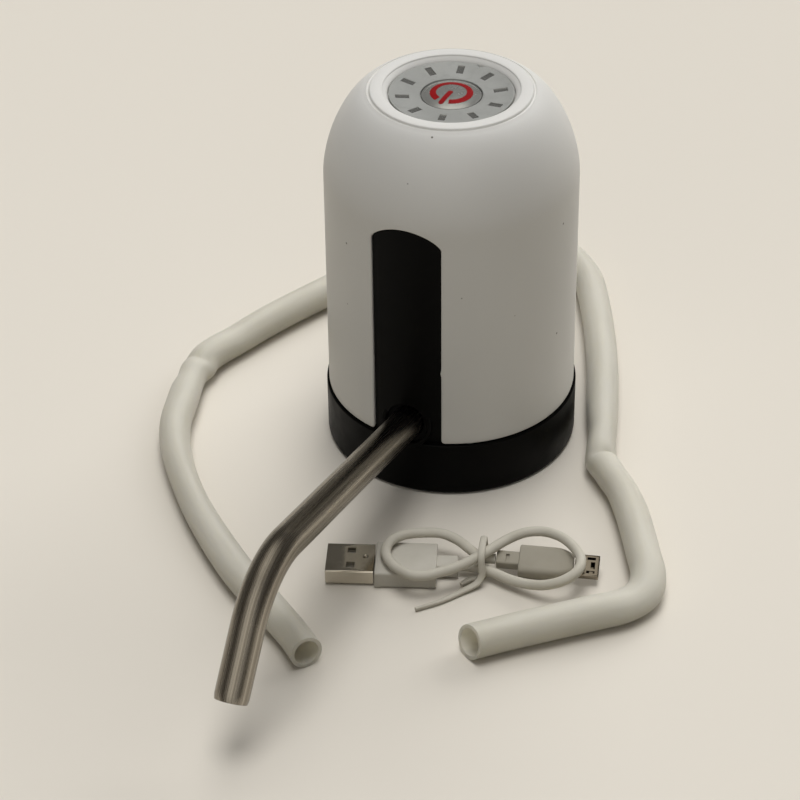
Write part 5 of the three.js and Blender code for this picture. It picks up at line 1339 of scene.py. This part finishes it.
# Soft parts inside: two milky silicone tubes carry the water from the nipple to the pump and on to the spout,
# a ring seals the spout, and thin insulated leads join switch, cell, board and motor.
inner_tube_radius = 4.2 * MM
inner_tube_bore = 2.9 * MM
ring_section = 0.5 * MM
ring_circle = 5.3 * MM
ring_level = -5.7 * MM
inner_lead_radius = 0.6 * MM
inner_tube_step = 0.6 * MM
inner_lead_step = 0.4 * MM
inner_tube_sides = 32
inner_lead_sides = 16
tube_routes = {
    "inlet_sleeve": [[0, 0.02, 13.1], [0.01, 0, 19], [0, 0.02, 25], [0.01, 0, 31]],
    "outlet_hose": [[-11, 4.1, 31], [-11.01, 4, 24.3], [-11, 2.6, 19.8], [-10.6, -1.6, 17.5], [-8.4, -6.6, 17.3],
                    [-4, -11.4, 17.5], [0, -15.56, 18.27], [0, -18.1, 18.84], [0, -23.66, 20.09]]}
lead_routes = {
    "switch_cable": ("wire_black", [[3, 24.5, 30.2], [3, 26.5, 38], [3, 27.4, 55], [3, 27, 78], [3, 22, 92],
                                    [3, 15, 99.5]]),
    "motor_lead_black": ("wire_black", [[-13, 2, 91.9], [-13.3, 2.6, 93.5], [-12.8, 4.4, 95.8], [-12, 5.8, 97.6],
                                        [-11.5, 6.5, 99.5]]),
    "battery_lead_black": ("wire_black", [[19.5, 20.6, 14.7], [17.4, 21.6, 17], [12.4, 22.6, 21], [8.4, 24, 25],
                                          [7.3, 24.3, 27.3]]),
    "motor_lead_red": ("wire_red", [[2, 2, 91.9], [2.4, 2.6, 93.5], [3.6, 4.4, 95.8], [4.4, 5.8, 97.6],
                                    [4.5, 6.5, 99.5]]),
    "battery_lead_red": ("wire_red", [[14.5, 8, 80.5], [14, 8.3, 84], [12.5, 9.5, 90], [10.5, 10.5, 95.5],
                                      [10, 11, 99.5]]),
}
insulation = {"wire_black": (0.012, 0.012, 0.012), "wire_red": (0.38, 0.02, 0.02)}
insulation_dull = {"wire_black": (0.035, 0.035, 0.035), "wire_red": (0.25, 0.015, 0.015)}

for part, points in tube_routes.items():
    middle, lengths = smooth_route(np.array(points) * MM + [0, axis_y, 0], inner_tube_step)
    outside, bore = (swept(middle, radius, radius, inner_tube_sides)
                     for radius in (inner_tube_radius, inner_tube_bore))
    tube = pipe(f"{part}_tube", outside, bore, lay_of(lengths, inner_tube_sides))
    dressed(tube, "hose_silicone", hose_finish, part)

seal_turn = all_round(24)
seal_profile = np.stack([ring_circle + ring_section * np.cos(seal_turn),
                         ring_level + ring_section * np.sin(seal_turn)], -1)
dressed(revolved("spout_seal", seal_profile, 96, tilt=root), "rubber_grey", rubber_finish, "spout_o_ring")

wire_finishes = {}
for slot, colour in insulation.items():
    finish = wire_finishes[slot] = Finish(f"insulation_{slot}", colour, 0.45)
    finish.clouds(insulation_dull[slot], (400, 400, 60), 0.45, 0.75, 0.7, detail=3)
    finish.grain((1200, 1200, 400), 0.02 * MM)
for part, (slot, points) in lead_routes.items():
    middle, _ = smooth_route(np.array(points) * MM + [0, axis_y, 0], inner_lead_step)
    outside = swept(middle, inner_lead_radius, inner_lead_radius, inner_lead_sides)
    wire = surface(f"{part}_wire", outside, caps=True)
    dressed(wire, slot, wire_finishes[slot], part)

# Works inside the shell, which keep their CAD shapes: the switch and its lamp, the cell, the chassis, the
# charging board, the pump with its wobbling yoke, and the motor. Each gets the finish of its own material: its
# colour, a second colour in blotches, roughness, metal or not, blotches to the metre, and its grain's depth.
inner_looks = {
    "black_plastic": ((0.014, 0.014, 0.014), (0.04, 0.04, 0.038), 0.5, 0, 300, 0.02),
    "screw_steel": ((0.42, 0.42, 0.43), (0.2, 0.19, 0.18), 0.33, 1, 700, 0.01),
    "switch_case": ((0.08, 0.09, 0.1), (0.04, 0.045, 0.05), 0.55, 0, 500, 0.02),
    "circuit_board": ((0.02, 0.13, 0.05), (0.03, 0.2, 0.09), 0.4, 0, 160, 0.03),
    "led_clear": ((0.82, 0.8, 0.72), (0.7, 0.66, 0.5), 0.2, 0, 900, 0.005),
    "cell_wrap": ((0.03, 0.14, 0.42), (0.02, 0.09, 0.3), 0.38, 0, 120, 0.03),
    "nickel": ((0.6, 0.57, 0.5), (0.42, 0.39, 0.33), 0.35, 1, 600, 0.01),
    "natural_nylon": ((0.74, 0.69, 0.56), (0.62, 0.57, 0.45), 0.5, 0, 200, 0.03),
    "hub_brass": ((0.55, 0.38, 0.13), (0.38, 0.25, 0.08), 0.35, 1, 500, 0.02),
    "motor_steel": ((0.5, 0.51, 0.53), (0.33, 0.33, 0.34), 0.34, 1, 350, 0.015),
    "ferrite": ((0.03, 0.03, 0.032), (0.06, 0.055, 0.05), 0.75, 0, 420, 0.04),
    "winding": ((0.42, 0.14, 0.045), (0.25, 0.08, 0.03), 0.38, 1, 900, 0.06),
    "rubber_grey": ((0.23, 0.235, 0.225), (0.32, 0.325, 0.31), 0.7, 0, 300, 0.03),
}
slot_of = {entry["node"]: entry["material_slot"] for entry in frame["record"]["subparts"]}
inner_finishes = {}
for slot, (colour, blotch, roughness, metal, spots, depth) in inner_looks.items():
    look = Finish(f"inner_{slot}", colour, roughness, metal).clouds(blotch, spots, 0.42, 0.72, 0.8)
    look.uneven(spots * 2, roughness * 0.8, min(roughness * 1.25, 1), detail=3).grain(spots * 5, depth * MM)
    inner_finishes[slot] = look
for part, piece in frame["nodes"].items():
    if not piece.hide_render and slot_of[part] in inner_finishes:
        inner_finishes[slot_of[part]].on(piece)
